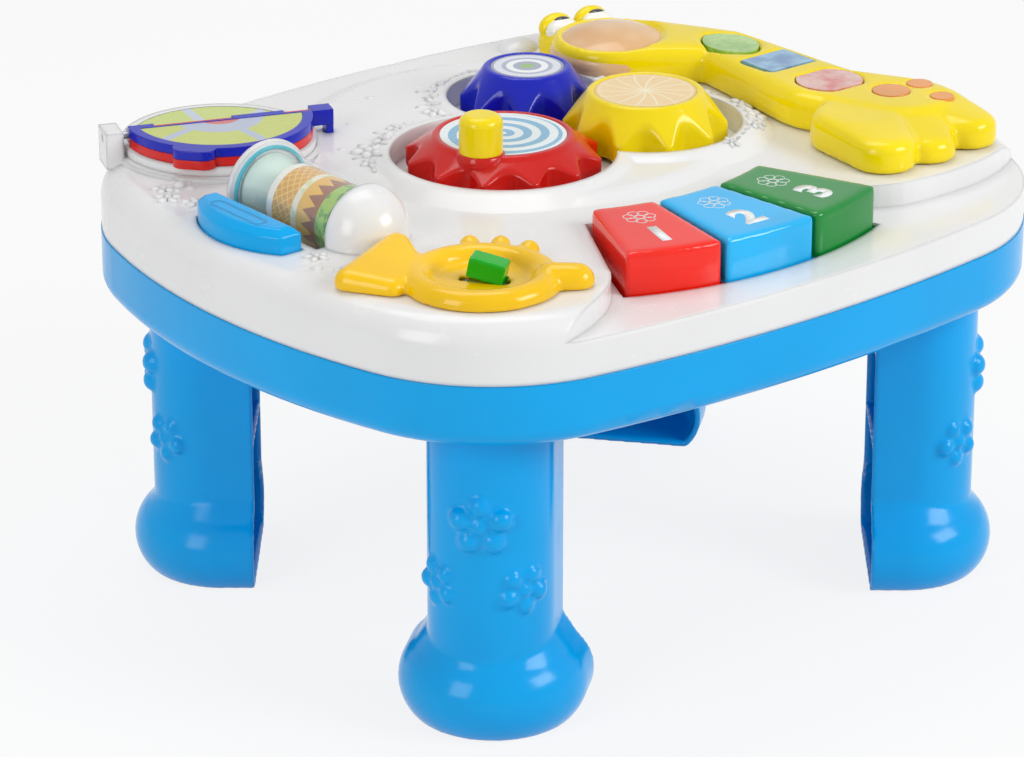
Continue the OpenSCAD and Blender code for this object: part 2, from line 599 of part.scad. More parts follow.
// ---- inside: board with contact pads ----
board_z = 155;
module circuit_board() color([0.05, 0.4, 0.15]) translate([0, 0, board_z]) linear_extrude(height = 1.6) difference() {
  union() {
    translate([-70, -128]) square([140, 44]);
    translate([58, -90]) square([12, 40]);
    translate([58, -60]) square([84, 14]);
    translate([98, -50]) square([44, 108]);
  }
}
bar_seat = [-161, 10.2];
pad_at = [for (k = [0:2]) polar(key_c, 146, -90 + (key_ang[k][0] + key_ang[k][1]) / 2)];
module contact_pads() color([0.55, 0.57, 0.6]) for (c = concat(pad_at, giraffe_seat, [bar_seat])) at(c, board_z + 1.6) {
  cylinder(r1 = 5, r2 = 3.2, h = 2.4, $fn = 32);
}
module press_bar() color([0.05, 0.6, 0.88]) difference() {
  union() {
    difference() {
      translate([0, 0, 182]) linear_extrude(height = bar_z - 182) bar_plan(0);
      translate([0, 0, 175]) linear_extrude(height = bar_z - 177.4) bar_plan(-2.3);
    }
    at(bar_seat, 162.4) cylinder(r = 3.5, h = bar_z - 164, $fn = 32);
  }
  translate([-162, bar_y, bar_z - 0.8]) linear_extrude(height = 2) difference() {
    stadium(28, 3.2);
    stadium(28, 2);
  }
}

// ---- drum roller ----
module along_y(x, z, y) translate([x, y, z]) rotate([-90, 0, 0]) children();
module drum_tube() color([0.9, 0.95, 1, 0.4]) along_y(drum_x, drum_z, drum_y0) difference() {
  cylinder(r = drum_r, h = drum_y1 - drum_y0 - 3, $fn = 96);
  translate([0, 0, 1.6]) cylinder(r = drum_r - 1.6, h = 80, $fn = 96);
  translate([0, 0, -1]) cylinder(r = 2.06, h = 5, $fn = 32);
}
module drum_label() color([0.9, 0.8, 0.4]) along_y(drum_x, drum_z, drum_y0 + 2) difference() {
  cylinder(r = drum_r - 1.75, h = 40, $fn = 96);
  translate([0, 0, -1]) cylinder(r = drum_r - 2.25, h = 80, $fn = 96);
}
module drum_disc() color([0.95, 0.95, 0.95]) along_y(drum_x, drum_z, drum_y1 - 3) difference() {
  rotate_extrude($fn = 96) difference() {
    union() {
      square([disc_r - 1.2, 3.2]);
      translate([0, 1.2]) square([disc_r, 0.8]);
      translate([disc_r - 1.2, 1.6]) circle(1.2, $fn = 32);
      square([disc_r - 0.6, 3.2]);
    }
    translate([0, -1]) square([2.06, 10]);
  }
}
module drum_ring() color([0.3, 0.75, 0.85]) along_y(drum_x, drum_z, drum_y1 - 4.2) difference() {
  cylinder(r = disc_r - 2.2, h = 1.2, $fn = 96);
  translate([0, 0, -1]) cylinder(r = drum_r + 0.05, h = 6, $fn = 96);
}
module drum_cone() color([0.85, 0.93, 0.9]) along_y(drum_x, drum_z, drum_y1 - 17) difference() {
  cylinder(r1 = 4.2, r2 = drum_r - 1.75, h = 14, $fn = 96);
  translate([0, 0, -eps]) cylinder(r1 = 2.06, r2 = drum_r - 3.6, h = 14 + 3 * eps, $fn = 96);
}
module drum_axle() color([0.75, 0.75, 0.78]) along_y(drum_x, drum_z, drum_y0 - 10) cylinder(r = 2, h = drum_y1 - drum_y0 + 15, $fn = 32);

// ---- fish ----
module fish_body() color([0.99, 0.78, 0.05]) at(fish_c, 0) rotate([0, 0, fish_a]) difference() {
  union() {
    rotate_extrude($fn = 96) {
      translate([0, deck_z]) square([20, 2.2]);
      translate([19, deck_z]) square([12.9, 1.4]);
      translate([25.8, deck_z + 1.3]) circle(6.2, $fn = 48);
    }
    // tail fan behind, nose in front, three bumps along one side
    hull() {
      translate([-27, 0, deck_z + 2]) sphere(r = 5.2, $fn = 32);
      translate([-40, 19, deck_z + 5]) sphere(r = 6, $fn = 32);
      translate([-50, -17, deck_z + 3]) sphere(r = 5.5, $fn = 32);
      translate([-31, -19, deck_z + 2]) sphere(r = 4.6, $fn = 32);
    }
    hull() {
      translate([27, 5, deck_z + 2]) sphere(r = 7.6, $fn = 32);
      translate([36.5, 8, deck_z + 2]) sphere(r = 7.2, $fn = 32);
    }
    for (a = [69, 91, 113]) rotate([0, 0, a]) translate([32.5, 0, deck_z + 4.2]) sphere(r = 4.4, $fn = 32);
  }
  translate([-100, -100, deck_z - 39.98]) cube([200, 200, 40]);
  translate([-9, -2.6, deck_z - 5]) cube([20, 5.2, 10]);
}
fish_rest = 2.5;
module fish_knob() color([0.05, 0.6, 0.2]) at(fish_c, 0) rotate([0, 0, fish_a]) translate([fish_rest, 0, 0]) {
  difference() {
    translate([-7.5, -4.2, deck_z + 2.4]) cube([15, 8.4, 7.5]);
    translate([-9, -6, deck_z + 9.9]) rotate([0, 20, 0]) translate([0, 0, 0]) cube([22, 12, 9]);
  }
  translate([-2, -2.2, deck_z - wall - 2.5]) cube([4, 4.4, wall + 5.5]);
  translate([-5.5, -4.4, deck_z - wall - 2.5]) cube([11, 8.8, 2.4]);
}

// ---- flip book ----
module half_disc(r, z0, t, s) intersection() {
  translate([0, 0, z0]) cylinder(r = r, h = t, $fn = 96);
  translate([-60, s > 0 ? 0 : -60, z0 - 1]) cube([120, 60, t + 2]);
}
module in_book() at(book_c, 0) rotate([0, 0, book_a]) children();
base_top = 192;
module book_base() color([0.95, 0.95, 0.95]) in_book() difference() {
  translate([0, 0, 188.1]) cylinder(r = page_r + 1.4, h = base_top - 188.1, $fn = 96);
  translate([0, 0, base_top - 0.8]) cylinder(r = page_r - 2, h = 3, $fn = 96);
}
module book_base_card() color([0.75, 0.8, 0.1]) in_book() translate([0, 0, base_top - 0.8]) cylinder(r = page_r - 2.15, h = 0.5, $fn = 96);
// knuckles: red and blue take turns along the pin
knuckles = [[-39.6, -28.5, 1], [-28.2, 5.2, 0], [5.5, 28.2, 1], [28.5, 39.4, 0]];
module page(z0, own) {
  t = page_t;
  difference() {
    union() {
      difference() {
        half_disc(page_r, z0, t, -1);
        translate([-60, -3.4, z0 - 1]) cube([120, 10, t + 2]);
      }
      // finger tab
      rotate([0, 0, -29]) translate([0, -page_r + 3, z0]) linear_extrude(height = t) {
        translate([-4, -3]) circle(5.2, $fn = 48);
        translate([4, -3]) circle(5.2, $fn = 48);
        translate([-4, -8.2]) square([8, 8]);
      }
      for (q = knuckles) if (q[2] == own) {
        translate([q[0], 0, pin_z]) rotate([0, 90, 0]) cylinder(r = 3, h = q[1] - q[0], $fn = 32);
        translate([q[0], -4, z0]) cube([q[1] - q[0], 4, t]);
      }
    }
    translate([-60, 0, pin_z]) rotate([0, 90, 0]) cylinder(r = 1.58, h = 120, $fn = 32);
    for (q = knuckles) if (q[2] != own)
      translate([q[0] - 0.3, 0, pin_z]) rotate([0, 90, 0]) cylinder(r = 3.4, h = q[1] - q[0] + 0.6, $fn = 32);
    // seats for the printed cards, both faces
    intersection() {
      union() {
        half_disc(page_r - 4.4, z0 + t - 0.7, 2, -1);
        half_disc(page_r - 4.4, z0 - 1.3, 2, -1);
      }
      translate([-60, -60, z0 - 2]) cube([120, 60 - 4.4, t + 4]);
    }
  }
}
module page_card(z0) for (z = [z0 + page_t - 0.7, z0 + 0.2]) intersection() {
  half_disc(page_r - 4.55, z, 0.5, -1);
  translate([-60, -60, z - 1]) cube([120, 60 - 4.55, 3]);
}
red_page_z = pin_z - page_t - 0.1;
blue_page_z = pin_z + 0.1;
module page_red() color([0.88, 0.08, 0.08]) in_book() page(red_page_z, 0);
module page_red_card() color([0.9, 0.9, 0.6]) in_book() page_card(red_page_z);
module page_blue() color([0.08, 0.12, 0.72]) in_book() page(blue_page_z, 1);
module page_blue_card() color([0.75, 0.8, 0.2]) in_book() page_card(blue_page_z);
module book_pin() color([0.75, 0.75, 0.78]) in_book() translate([-49, 0, pin_z]) rotate([0, 90, 0]) cylinder(r = 1.5, h = 97, $fn = 32);
module book_clip() color([0.08, 0.12, 0.72]) in_book() difference() {
  union() {
    translate([40.2, -4, pin_z - 3.2]) cube([9.2, 8, 6.8]);
    translate([46.4, -3, 176]) cube([3.2, 6, 22]);
  }
  translate([38, 0, pin_z]) rotate([0, 90, 0]) cylinder(r = 1.52, h = 10.2, $fn = 32);
}

// ---- giraffe lying along the right side ----
gir_z = deck_z + 0.02;
module blob(x, y, rx, h, e = 7) translate([x, y, gir_z]) rotate_extrude($fn = 32) {
  square([rx, h - e]);
  square([rx - e, h]);
  translate([rx - e, h - e]) circle(e, $fn = 32);
}
module giraffe_solid() {
  hull() { blob(127, 44, 17, 16); blob(122, -30, 23, 16.5); }
  hull() { blob(122, -30, 23, 16.5); blob(136, -62, 26, 16.5); }
  hull() { blob(127, 44, 17, 16); blob(91.5, 77.5, 27, 18); }
  hull() { blob(107, -66, 20, 15.5, 5); blob(98, -92, 14, 14, 5); }
  hull() { blob(130, -70, 20, 14, 5); blob(120, -96, 12, 10.5, 5); }
  hull() { blob(145, -68, 17, 15.5, 5); blob(146, -93, 12.5, 13, 5); }
  hull() { blob(98, 84, 20, 16); blob(88, 109, 10, 13, 5); blob(106, 107, 10, 13, 5); }
}
spot_at = [[135, -57, 8], [151, -58, 5.5], [147, -76, 5]];
eye_at = [[87, 107.5], [104.5, 105]];
face_c = [91.5, 77.5];
face_r = 23.5;
module giraffe_body() color([0.98, 0.85, 0.08]) difference() {
  giraffe_solid();
  for (k = [0:2]) lens_hole(k);
  for (c = giraffe_seat) at(c, 180) cylinder(r = 3.6, h = 14, $fn = 32);
  at(face_c, gir_z + 15.2) cylinder(r = face_r + 0.2, h = 6, $fn = 64);
  for (c = spot_at) at(c, gir_z + 13.4) cylinder(r = c[2] + 0.1, h = 8, $fn = 48);
  for (c = eye_at) at(c, gir_z + 12.6) sphere(r = 3.25, $fn = 32);
  // bedding on the platform and the mounds of the gears
  at([6, 37], deck_z) rotate_extrude($fn = 120) polygon([[60, -2], [98.2, -2], [98.2, -0.5], [90.1, 2.5], [87, 3.12], [60, 3.12]]);
  bed(yel_c, yel_tip + 6.5);
  bed(blu_c, blu_tip + 6);
}
module bed(c, r) at(c, deck_z) rotate_extrude($fn = 96)
  polygon([[r - 8, -2], [r + 15.3, -2], [r + 15.3, -0.4], [r + 5.2, 4.65], [r + 3.2, 5.15], [r - 8, 5.15]]);
lens_c = [[123.5, 35], [124.5, 3.8], [124, -30]];
module lens_plan(k, g) {
  if (k == 0) intersection() {
    translate([lens_c[0][0] - 3, lens_c[0][1]]) circle(15.5 + g, $fn = 64);
    translate([lens_c[0][0] + 7, lens_c[0][1]]) circle(17 + g, $fn = 64);
  }
  if (k == 1) translate(lens_c[1]) square([25 + 2 * g, 20 + 2 * g], center = true);
  if (k == 2) intersection() {
    translate(lens_c[2]) circle(14.4 + g, $fn = 64);
    translate(lens_c[2]) square([40, 24 + 2 * g], center = true);
  }
}
module lens_hole(k) translate([0, 0, gir_z + 4]) linear_extrude(height = 40) lens_plan(k, 0.35);
module lens(k) {
  translate([0, 0, gir_z + 8]) linear_extrude(height = 8.2) lens_plan(k, 0);
  at(giraffe_seat[k], 161.2) cylinder(r = 3.2, h = gir_z + 9 - 161.2, $fn = 32);
}
module lens_green() color([0.5, 0.8, 0.2]) lens(0);
module lens_blue() color([0.2, 0.5, 0.75]) lens(1);
module lens_red() color([0.95, 0.4, 0.4]) lens(2);
module giraffe_face() color([0.95, 0.75, 0.55]) at(face_c, gir_z + 15.22) rotate_extrude($fn = 64) {
  square([face_r, 2]);
  square([face_r - 2, 4]);
  translate([face_r - 2, 2]) circle(2, $fn = 32);
}
module giraffe_spots() color([1, 0.55, 0.1]) for (c = spot_at) at(c, gir_z + 13.42) cylinder(r = c[2], h = 2.9, $fn = 48);
module giraffe_eyes() color([0.1, 0.1, 0.1]) for (c = eye_at) at(c, gir_z + 12.6) sphere(r = 3.2, $fn = 32);

// ---- power ----
module light_diodes() color([0.95, 0.95, 0.9]) for (c = lens_c) at(c + [9, 0], board_z + 1.6) cylinder(r = 2.5, h = 7, $fn = 32);
module speaker() color([0.2, 0.2, 0.22]) at(spk_c, skirt_z + 3) {
  difference() {
    cylinder(r = 20, h = 2.4, $fn = 64);
    translate([0, 0, -1]) cylinder(r1 = 17, r2 = 8, h = 3, $fn = 64);
  }
  translate([0, 0, 2.4]) cylinder(r1 = 18, r2 = 9, h = 5, $fn = 64);
  translate([0, 0, 7.4]) cylinder(r = 11, h = 4.5, $fn = 64);
}
bat_r = 7.15;
module batteries() color([0.15, 0.15, 0.17]) for (k = [-1:1]) at(bat_c, skirt_z + 10) translate([-25.2, k * 16.4, 0]) rotate([0, 90, 0]) {
  cylinder(r = bat_r, h = 49.4, $fn = 48);
  translate([0, 0, 49.3]) cylinder(r = 2.7, h = 1.1, $fn = 32);
}
module battery_contacts() color([0.8, 0.8, 0.82]) for (k = [-1:1]) at(bat_c, skirt_z + 5) {
  translate([25.3, k * 16.4 - 5, 0]) cube([6.3, 10, 10]);
  translate([-31.6, k * 16.4 - 5, 0]) cube([6.3, 10, 10]);
}
module battery_door() color([0.0, 0.62, 0.9]) at(bat_c, skirt_z) difference() {
  union() {
    translate([-34.3, -22.7, 0]) cube([68.6, 45.4, 2]);
    translate([-31.3, -25.3, 0]) cube([62.6, 50.6, 2]);
  }
  translate([31.7, 8.2, -1]) cylinder(r = 1.6, h = 6, $fn = 24);
}
module door_screws() color([0.7, 0.7, 0.72]) at(bat_c, 0) translate([31.7, 8.2, skirt_z - 1]) difference() {
  union() {
    cylinder(r = 2.6, h = 1, $fn = 32);
    cylinder(r = 1.2, h = 8, $fn = 24);
  }
  translate([-0.35, -1.7, -1]) cube([0.7, 3.4, 1.5]);
  translate([-1.7, -0.35, -1]) cube([3.4, 0.7, 1.5]);
}
module power_switch() color([0.9, 0.3, 0.1]) at(sw_c, 0) {
  translate([-3.5, -2.4, skirt_z - 1.2]) cube([5, 4.8, 5.2]);
  translate([-5.5, -4, skirt_z + 3.1]) cube([9, 8, 2]);
}
module housing_screws() color([0.7, 0.7, 0.72]) for (c = boss_at) at(c, 0) {
  translate([0, 0, skirt_z + 3]) cylinder(r = 2.8, h = 2, $fn = 32);
  translate([0, 0, skirt_z + 4]) cylinder(r = 1.25, h = seam_z - skirt_z + 3, $fn = 24);
}
module leg_front_left() leg_place(2) leg();
module leg_front_right() leg_place(3) leg();
module leg_back_left() leg_place(1) leg();
module leg_back_right() leg_place(0) leg();

deck();
skirt();
leg_front_left();
leg_front_right();
leg_back_left();
leg_back_right();
gear_red();
gear_red_print();
gear_yellow();
gear_yellow_print();
gear_blue();
gear_blue_print();
gear_screws();
crank_knob();
key_red();
key_blue();
key_green();
key_pins();
contact_pads();
press_bar();
drum_tube();
drum_label();
drum_disc();
drum_ring();
drum_cone();
drum_axle();
fish_body();
fish_knob();
book_base();
book_base_card();
page_red();
page_red_card();
page_blue();
page_blue_card();
book_pin();
book_clip();
giraffe_body();
giraffe_face();
lens_green();
lens_blue();
lens_red();
giraffe_spots();
giraffe_eyes();
circuit_board();
light_diodes();
speaker();
batteries();
battery_contacts();
battery_door();
door_screws();
power_switch();
housing_screws();
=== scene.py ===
# %% [markdown]
# # A toddler's play table in Blender
# The real table is a handful of glossy injection mouldings: a white top on a
# sky-blue skirt, four plug-in legs, and toys in clear and bright plastics.
# The exact solids come packed with joints, so they are loaded first and stay
# fixed. Every new piece is then placed in the same metres and axes.

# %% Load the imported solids
import bpy, bmesh, math
from mathutils import Matrix, Vector


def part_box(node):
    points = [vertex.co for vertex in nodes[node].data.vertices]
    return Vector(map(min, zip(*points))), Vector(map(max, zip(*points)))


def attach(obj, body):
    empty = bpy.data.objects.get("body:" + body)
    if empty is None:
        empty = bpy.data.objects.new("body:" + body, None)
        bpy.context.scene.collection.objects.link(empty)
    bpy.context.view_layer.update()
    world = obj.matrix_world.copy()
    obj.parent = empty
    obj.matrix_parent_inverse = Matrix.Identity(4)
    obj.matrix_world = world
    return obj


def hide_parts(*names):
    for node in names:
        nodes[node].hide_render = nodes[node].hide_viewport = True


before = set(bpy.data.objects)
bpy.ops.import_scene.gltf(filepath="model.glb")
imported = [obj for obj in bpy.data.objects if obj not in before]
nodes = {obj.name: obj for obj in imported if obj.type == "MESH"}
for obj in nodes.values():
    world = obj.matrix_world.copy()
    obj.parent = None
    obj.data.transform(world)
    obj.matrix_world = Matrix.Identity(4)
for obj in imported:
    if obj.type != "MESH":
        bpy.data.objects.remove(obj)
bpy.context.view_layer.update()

MM = 0.001
TURN = 2 * math.pi

# %% [markdown]
# ## Camera
# The picture was taken from the front left corner, a little above the table,
# with a long lens, so upright edges stay almost parallel. The place, the
# direction and the lens are numbers here. A camera could also be aimed with a
# constraint, but a plain matrix keeps it fixed.

# %% Camera at the photograph's angle
AZIMUTH, ELEVATION = math.radians(-38.99), math.radians(22.34)
CAMERA_PLACE = (-1.1776, -1.4198, 0.8430)
SENSOR_WIDTH, FOCAL_LENGTH = 36.0, 162.7


def linked(name, data):
    """a new object of the scene that holds some data"""
    o = bpy.data.objects.new(name, data)
    bpy.context.scene.collection.objects.link(o)
    return o

level = math.cos(ELEVATION)
back = Vector((math.sin(AZIMUTH) * level, -math.cos(AZIMUTH) * level, math.sin(ELEVATION)))
right = Vector((0, 0, 1)).cross(back).normalized()
upward = back.cross(right)
lens = bpy.data.cameras.new("camera")
lens.sensor_width, lens.lens = SENSOR_WIDTH, FOCAL_LENGTH
lens.clip_start, lens.clip_end = 0.05, 60
camera = linked("camera", lens)
aim = Matrix((right, upward, back)).transposed().to_4x4()
camera.matrix_world = Matrix.Translation(CAMERA_PLACE) @ aim
bpy.context.scene.camera = camera
bpy.context.scene.view_settings.view_transform = "Standard"
print("camera", [round(v, 3) for v in camera.location], "lens", lens.lens)

# %% [markdown]
# ## Materials as expressions
# A node tree is slow to read when each link is a line of its own. `Wire` wraps
# one output socket, so `1 - wire * 2` adds its own Math nodes, and `Finish`
# makes any other node from its type, its settings and its sockets. Sums of
# plain numbers stay in Python and never become nodes.

# %% A wire between nodes
class Wire:
    """one output socket; an expression on it adds the Math nodes that it needs"""
    def __init__(self, finish, socket):
        self.finish, self.socket = finish, socket

    def math(self, operation, *values):
        return self.finish.add("ShaderNodeMath", {"operation": operation}, dict(enumerate(values)))

    def __add__(self, other): return self.math("ADD", self, other)
    def __radd__(self, other): return self.math("ADD", other, self)
    def __sub__(self, other): return self.math("SUBTRACT", self, other)
    def __rsub__(self, other): return self.math("SUBTRACT", other, self)
    def __mul__(self, other): return self.math("MULTIPLY", self, other)
    def __rmul__(self, other): return self.math("MULTIPLY", other, self)
    def __truediv__(self, other): return self.math("DIVIDE", self, other)
    def __rtruediv__(self, other): return self.math("DIVIDE", other, self)
    def __mod__(self, other): return self.math("FLOORED_MODULO", self, other)
    def __lt__(self, other): return self.math("LESS_THAN", self, other)
    def __gt__(self, other): return self.math("GREATER_THAN", self, other)
    def abs(self): return self.math("ABSOLUTE", self)
    def most(self, other): return self.math("MAXIMUM", self, other)

    def off_middle(self):
        """how far the value is from the middle of its whole number, 0 to 0.5"""
        return (self % 1.0 - 0.5).abs()

    def step(self, low, high, to_low=0.0, to_high=1.0):
        """to_low below low, to_high above high, a soft slope between them"""
        ends = {"From Min": low, "From Max": high, "To Min": to_low, "To Max": to_high}
        soft = {"interpolation_type": "SMOOTHSTEP"}
        return self.finish.add("ShaderNodeMapRange", soft, {"Value": self, **ends})

    def past(self, edge, blur=0.00015):
        """0 before an edge and 1 after it, as sharp as print"""
        return self.step(edge - blur, edge + blur)


def angle(x, y):
    return y.math("ARCTAN2", y, x)


def radius(x, y):
    square = x * x + y * y
    return square.math("SQRT", square)

print("wires ready")

# %% A finish and its nodes
def paint(code):
    """a colour as it looks on screen, 'rrggbb', as the linear colour of a shader"""
    rgb = [int(code[i:i + 2], 16) / 255 for i in (0, 2, 4)]
    return tuple(c / 12.92 if c <= 0.04045 else ((c + 0.055) / 1.055) ** 2.4 for c in rgb) + (1.0,)


class Finish:
    """the nodes of a new material, or of an owner such as the world"""
    def __init__(self, owner):
        self.owner = bpy.data.materials.new(owner) if isinstance(owner, str) else owner
        self.owner.use_nodes = True
        self.tree = self.owner.node_tree
        self.tree.nodes.clear()

    def add(self, kind, settings=None, sockets=None, out=0):
        """a node: its settings are set first, then the values or links of its sockets"""
        node = self.last = self.tree.nodes.new(kind)
        for key, value in (settings or {}).items():
            setattr(node, key, value)
        for key, value in (sockets or {}).items():
            if isinstance(value, Wire):
                self.tree.links.new(value.socket, node.inputs[key])
            else:
                node.inputs[key].default_value = value
        return Wire(self, node.outputs[out]) if node.outputs else None

    def place(self, centre=(0, 0, 0), turn=0.0, stretch=(1, 1, 1)):
        """object coordinates in metres from centre, stretched, and turned by -turn about Z"""
        where = self.add("ShaderNodeTexCoord", out=3)
        kind, point = "ShaderNodeMapping", {"vector_type": "POINT"}
        if centre != (0, 0, 0):
            where = self.add(kind, point, {"Vector": where, "Location": [-c for c in centre]})
        if turn or stretch != (1, 1, 1):
            where = self.add(kind, point, {"Vector": where, "Rotation": (0, 0, -turn), "Scale": stretch})
        return where

    def split(self, where):
        self.add("ShaderNodeSeparateXYZ", None, {0: where})
        return [Wire(self, socket) for socket in self.last.outputs]

    def polar(self, centre, turn=0.0):
        """distance in metres and angle in radians round a centre in millimetres"""
        x, y, _ = self.split(self.place((centre[0] * MM, centre[1] * MM, 0), turn))
        return radius(x, y), angle(x, y)

    def noise(self, where, size, detail=2.0, roughness=0.5):
        """noise of about 0 to 1 whose clouds are size metres across"""
        sockets = {"Vector": where, "Scale": 1.0 / size, "Detail": detail, "Roughness": roughness}
        return self.add("ShaderNodeTexNoise", {"noise_dimensions": "3D"}, sockets)

    def mix(self, a, b, share):
        settings = {"data_type": "RGBA", "clamp_factor": True}
        return self.add("ShaderNodeMix", settings, {0: share, 6: a, 7: b}, out=2)

    def relief(self, height, strength, distance, edge=0.0):
        """a bump, with crisp edges rounded to a radius of edge metres"""
        sockets = {"Height": height, "Strength": strength, "Distance": distance}
        if edge:
            sockets["Normal"] = self.add("ShaderNodeBevel", {"samples": 6}, {"Radius": edge})
        return self.add("ShaderNodeBump", None, sockets)

    def close(self, surface, output="ShaderNodeOutputMaterial"):
        self.add(output, None, {"Surface": surface})
        return self.owner

    def solid(self, sockets):
        """the finished material of an opaque surface"""
        return self.close(self.add("ShaderNodeBsdfPrincipled", None, sockets))

print("finishes ready")

# %% [markdown]
# ## Moulded plastic
# Bright toy plastic is dyed through, then polished by the mould. Up close it
# still shows a faint orange peel, cloudy patches of gloss where hands and the
# box have rubbed it, a few hairline scuffs, and colour that drifts a little
# with the flow. It could be painted by hand; noise at the real sizes gives all
# of these on every solid at once. The Bevel node rounds the light on crisp
# edges, as the mould's own radius does.

# %% Moulded plastic
PEEL = 0.0001          # height of the orange peel, metres
HAIRS = (60, 900, 300)  # stretch that draws noise out into hairlines


def plastic(name, code, gloss=0.16, drift=0.05, edge=0.0, coat=0.15, scuffs=0.25, specular=0.3,
            colour=None, groove_and_shade=None, finish=None):
    """polished plastic. gloss is its roughness, drift how far the colour wanders, edge the
    radius of its edges, scuffs the share of hairlines; a slot mask, if given, is pressed in and darkened as
    painted shade"""
    f = finish or Finish(name)
    where = f.place()
    base = paint(code)[:3]
    if colour is None:
        shade = (*[c * (1 - 2.2 * drift) for c in base], 1.0)
        tint = (*[min(1.0, c * (1 + drift) + 0.35 * drift * drift) for c in base], 1.0)
        colour = f.mix(shade, tint, f.noise(where, size=0.045, detail=3).step(0.25, 0.75))
    rubbed = f.noise(where, size=0.018, detail=4, roughness=0.6).step(0.45, 0.75)
    scratch = f.noise(f.place(turn=0.6, stretch=HAIRS), size=1.0).step(0.66, 0.72)
    ripple = f.noise(where, size=0.0016) + 0.6 * f.noise(where, size=0.006) - 0.15 * scuffs * scratch
    strength = 0.22
    if groove_and_shade is not None:
        # painted shade: inside the pressed-in slot the colour is darkened as if shaded; the bump below
        # presses it in
        colour = f.mix(colour, (*[0.55 * c for c in base], 1.0), groove_and_shade * 0.5)
        ripple = ripple - groove_and_shade * 5.0
        strength = 0.8
    return f.solid({"Base Color": colour, "Roughness": gloss + 0.10 * rubbed + scuffs * 0.16 * scratch,
                    "Normal": f.relief(ripple, strength, PEEL, edge), "Coat Weight": coat,
                    "Coat Roughness": 0.08, "IOR": 1.5, "Specular IOR Level": specular})

white = plastic("white_plastic", "e9e9e9", gloss=0.20, drift=0.010, edge=0.0030, coat=0.2,
                scuffs=0.12, specular=0.35)
sky = plastic("sky_plastic", "00a6ec", gloss=0.17, drift=0.02, edge=0.0012, coat=0.08,
              scuffs=0.12, specular=0.2)
yellow = plastic("yellow_plastic", "f7dd00", gloss=0.15, drift=0.03, edge=0.0008)
fish_yellow = plastic("fish_yellow", "fbc804", gloss=0.15, drift=0.04, edge=0.0008)
gear_red = plastic("gear_red", "cc1207", gloss=0.13, drift=0.05, edge=0.0008)
key_red = plastic("key_red", "f5200a", gloss=0.08, drift=0.05, coat=0.3, scuffs=0.1)
key_blue = plastic("key_blue", "12b6f5", gloss=0.08, drift=0.04, coat=0.3, scuffs=0.1)
key_green = plastic("key_green", "088a34", gloss=0.08, drift=0.05, coat=0.3, scuffs=0.1)
royal_blue = plastic("royal_blue", "0418b8", gloss=0.13, drift=0.06, edge=0.0008)
book_red = plastic("book_red", "dc1c14", gloss=0.15, drift=0.05, edge=0.0005)
knob_green = plastic("knob_green", "06b41a", gloss=0.14, drift=0.06, edge=0.0006)
turquoise = plastic("turquoise", "5fc3d2", gloss=0.16, drift=0.05, edge=0.0004)
pale_mint = plastic("pale_mint", "dcf0e6", gloss=0.2, drift=0.02, edge=0.0008)
black = plastic("black_plastic", "1b1c1f", gloss=0.35, drift=0.1)
print("plastics:", len(bpy.data.materials))

# %% Which solid is moulded in which plastic
LEG_CORNERS = ("front_left", "front_right", "back_left", "back_right")


def dress(material, *names):
    """gives CAD solids their finish; the mesh is not touched"""
    for name in names:
        data = nodes[name].data
        data.materials.clear()
        data.materials.append(material)

dress(white, "deck", "book_base", "drum_disc")
dress(pale_mint, "drum_cone")
dress(sky, "skirt", "battery_door", "press_bar", *[f"leg_{corner}" for corner in LEG_CORNERS])
dress(yellow, "gear_yellow", "crank_knob", "giraffe_body")
dress(fish_yellow, "fish_body")
dress(gear_red, "gear_red")
dress(key_red, "key_red")
dress(key_blue, "key_blue")
dress(key_green, "key_green")
dress(royal_blue, "gear_blue", "page_blue", "book_clip")
dress(book_red, "page_red")
dress(knob_green, "fish_knob")
dress(turquoise, "drum_ring")
dress(black, "power_switch", "speaker")
print("plastic solids dressed")

# %% [markdown]
# ## Metal, board and cells
# Screws and the drum's axle are bright zinc and steel, drawn or turned, so
# their scratches run fine and their gloss changes from spot to spot. The
# circuit board is green lacquer over copper tracks. These sit inside, and one
# plain grey would do for a picture, but a reader who opens the table should
# find them finished too.

# %% Metal
def metal(name, code, gloss=0.28, turned=0.0004):
    f = Finish(name)
    base = paint(code)
    dull = (*[0.6 * c for c in base[:3]], 1.0)
    stain = f.noise(f.place(), size=0.006, detail=4).step(0.35, 0.75)
    fine = f.noise(f.place(stretch=(1, 1, 8)), size=turned)
    return f.solid({"Base Color": f.mix(base, dull, stain * 0.6), "Metallic": 1.0,
                    "Roughness": gloss + 0.18 * stain + 0.08 * fine, "Normal": f.relief(fine, 0.25, 0.00006)})

dress(metal("steel", "c9ccd0"), "drum_axle", "book_pin", "key_pins")
dress(metal("zinc_screw", "b9bcc2", gloss=0.34), "gear_screws", "door_screws", "housing_screws")
dress(metal("nickel_spring", "c3bfb4", gloss=0.22, turned=0.0002), "battery_contacts")
print("metals dressed")

# %% The electrics
TRACK_ACROSS, TRACK_ALONG = 0.004, 0.0052   # from one copper track to the next, metres
f = Finish("board_lacquer")
x, y, _ = f.split(f.place())
track = ((x / TRACK_ACROSS).off_middle() < 0.09).most((y / TRACK_ALONG).off_middle() < 0.07)
track = track * (f.noise(f.place(), size=0.02, detail=1) > 0.5)
board = f.solid({"Base Color": f.mix(paint("0f5a34"), paint("1f7d4c"), track),
                 "Roughness": 0.28 + 0.12 * f.noise(f.place(), size=0.004),
                 "Normal": f.relief(track, 0.4, 0.00005)})
dress(board, "circuit_board")
dress(plastic("carbon_rubber", "4a4d50", gloss=0.55, drift=0.1, coat=0.0), "contact_pads")
dress(plastic("diode_epoxy", "f4f1e4", gloss=0.08, drift=0.04, coat=0.6), "light_diodes")

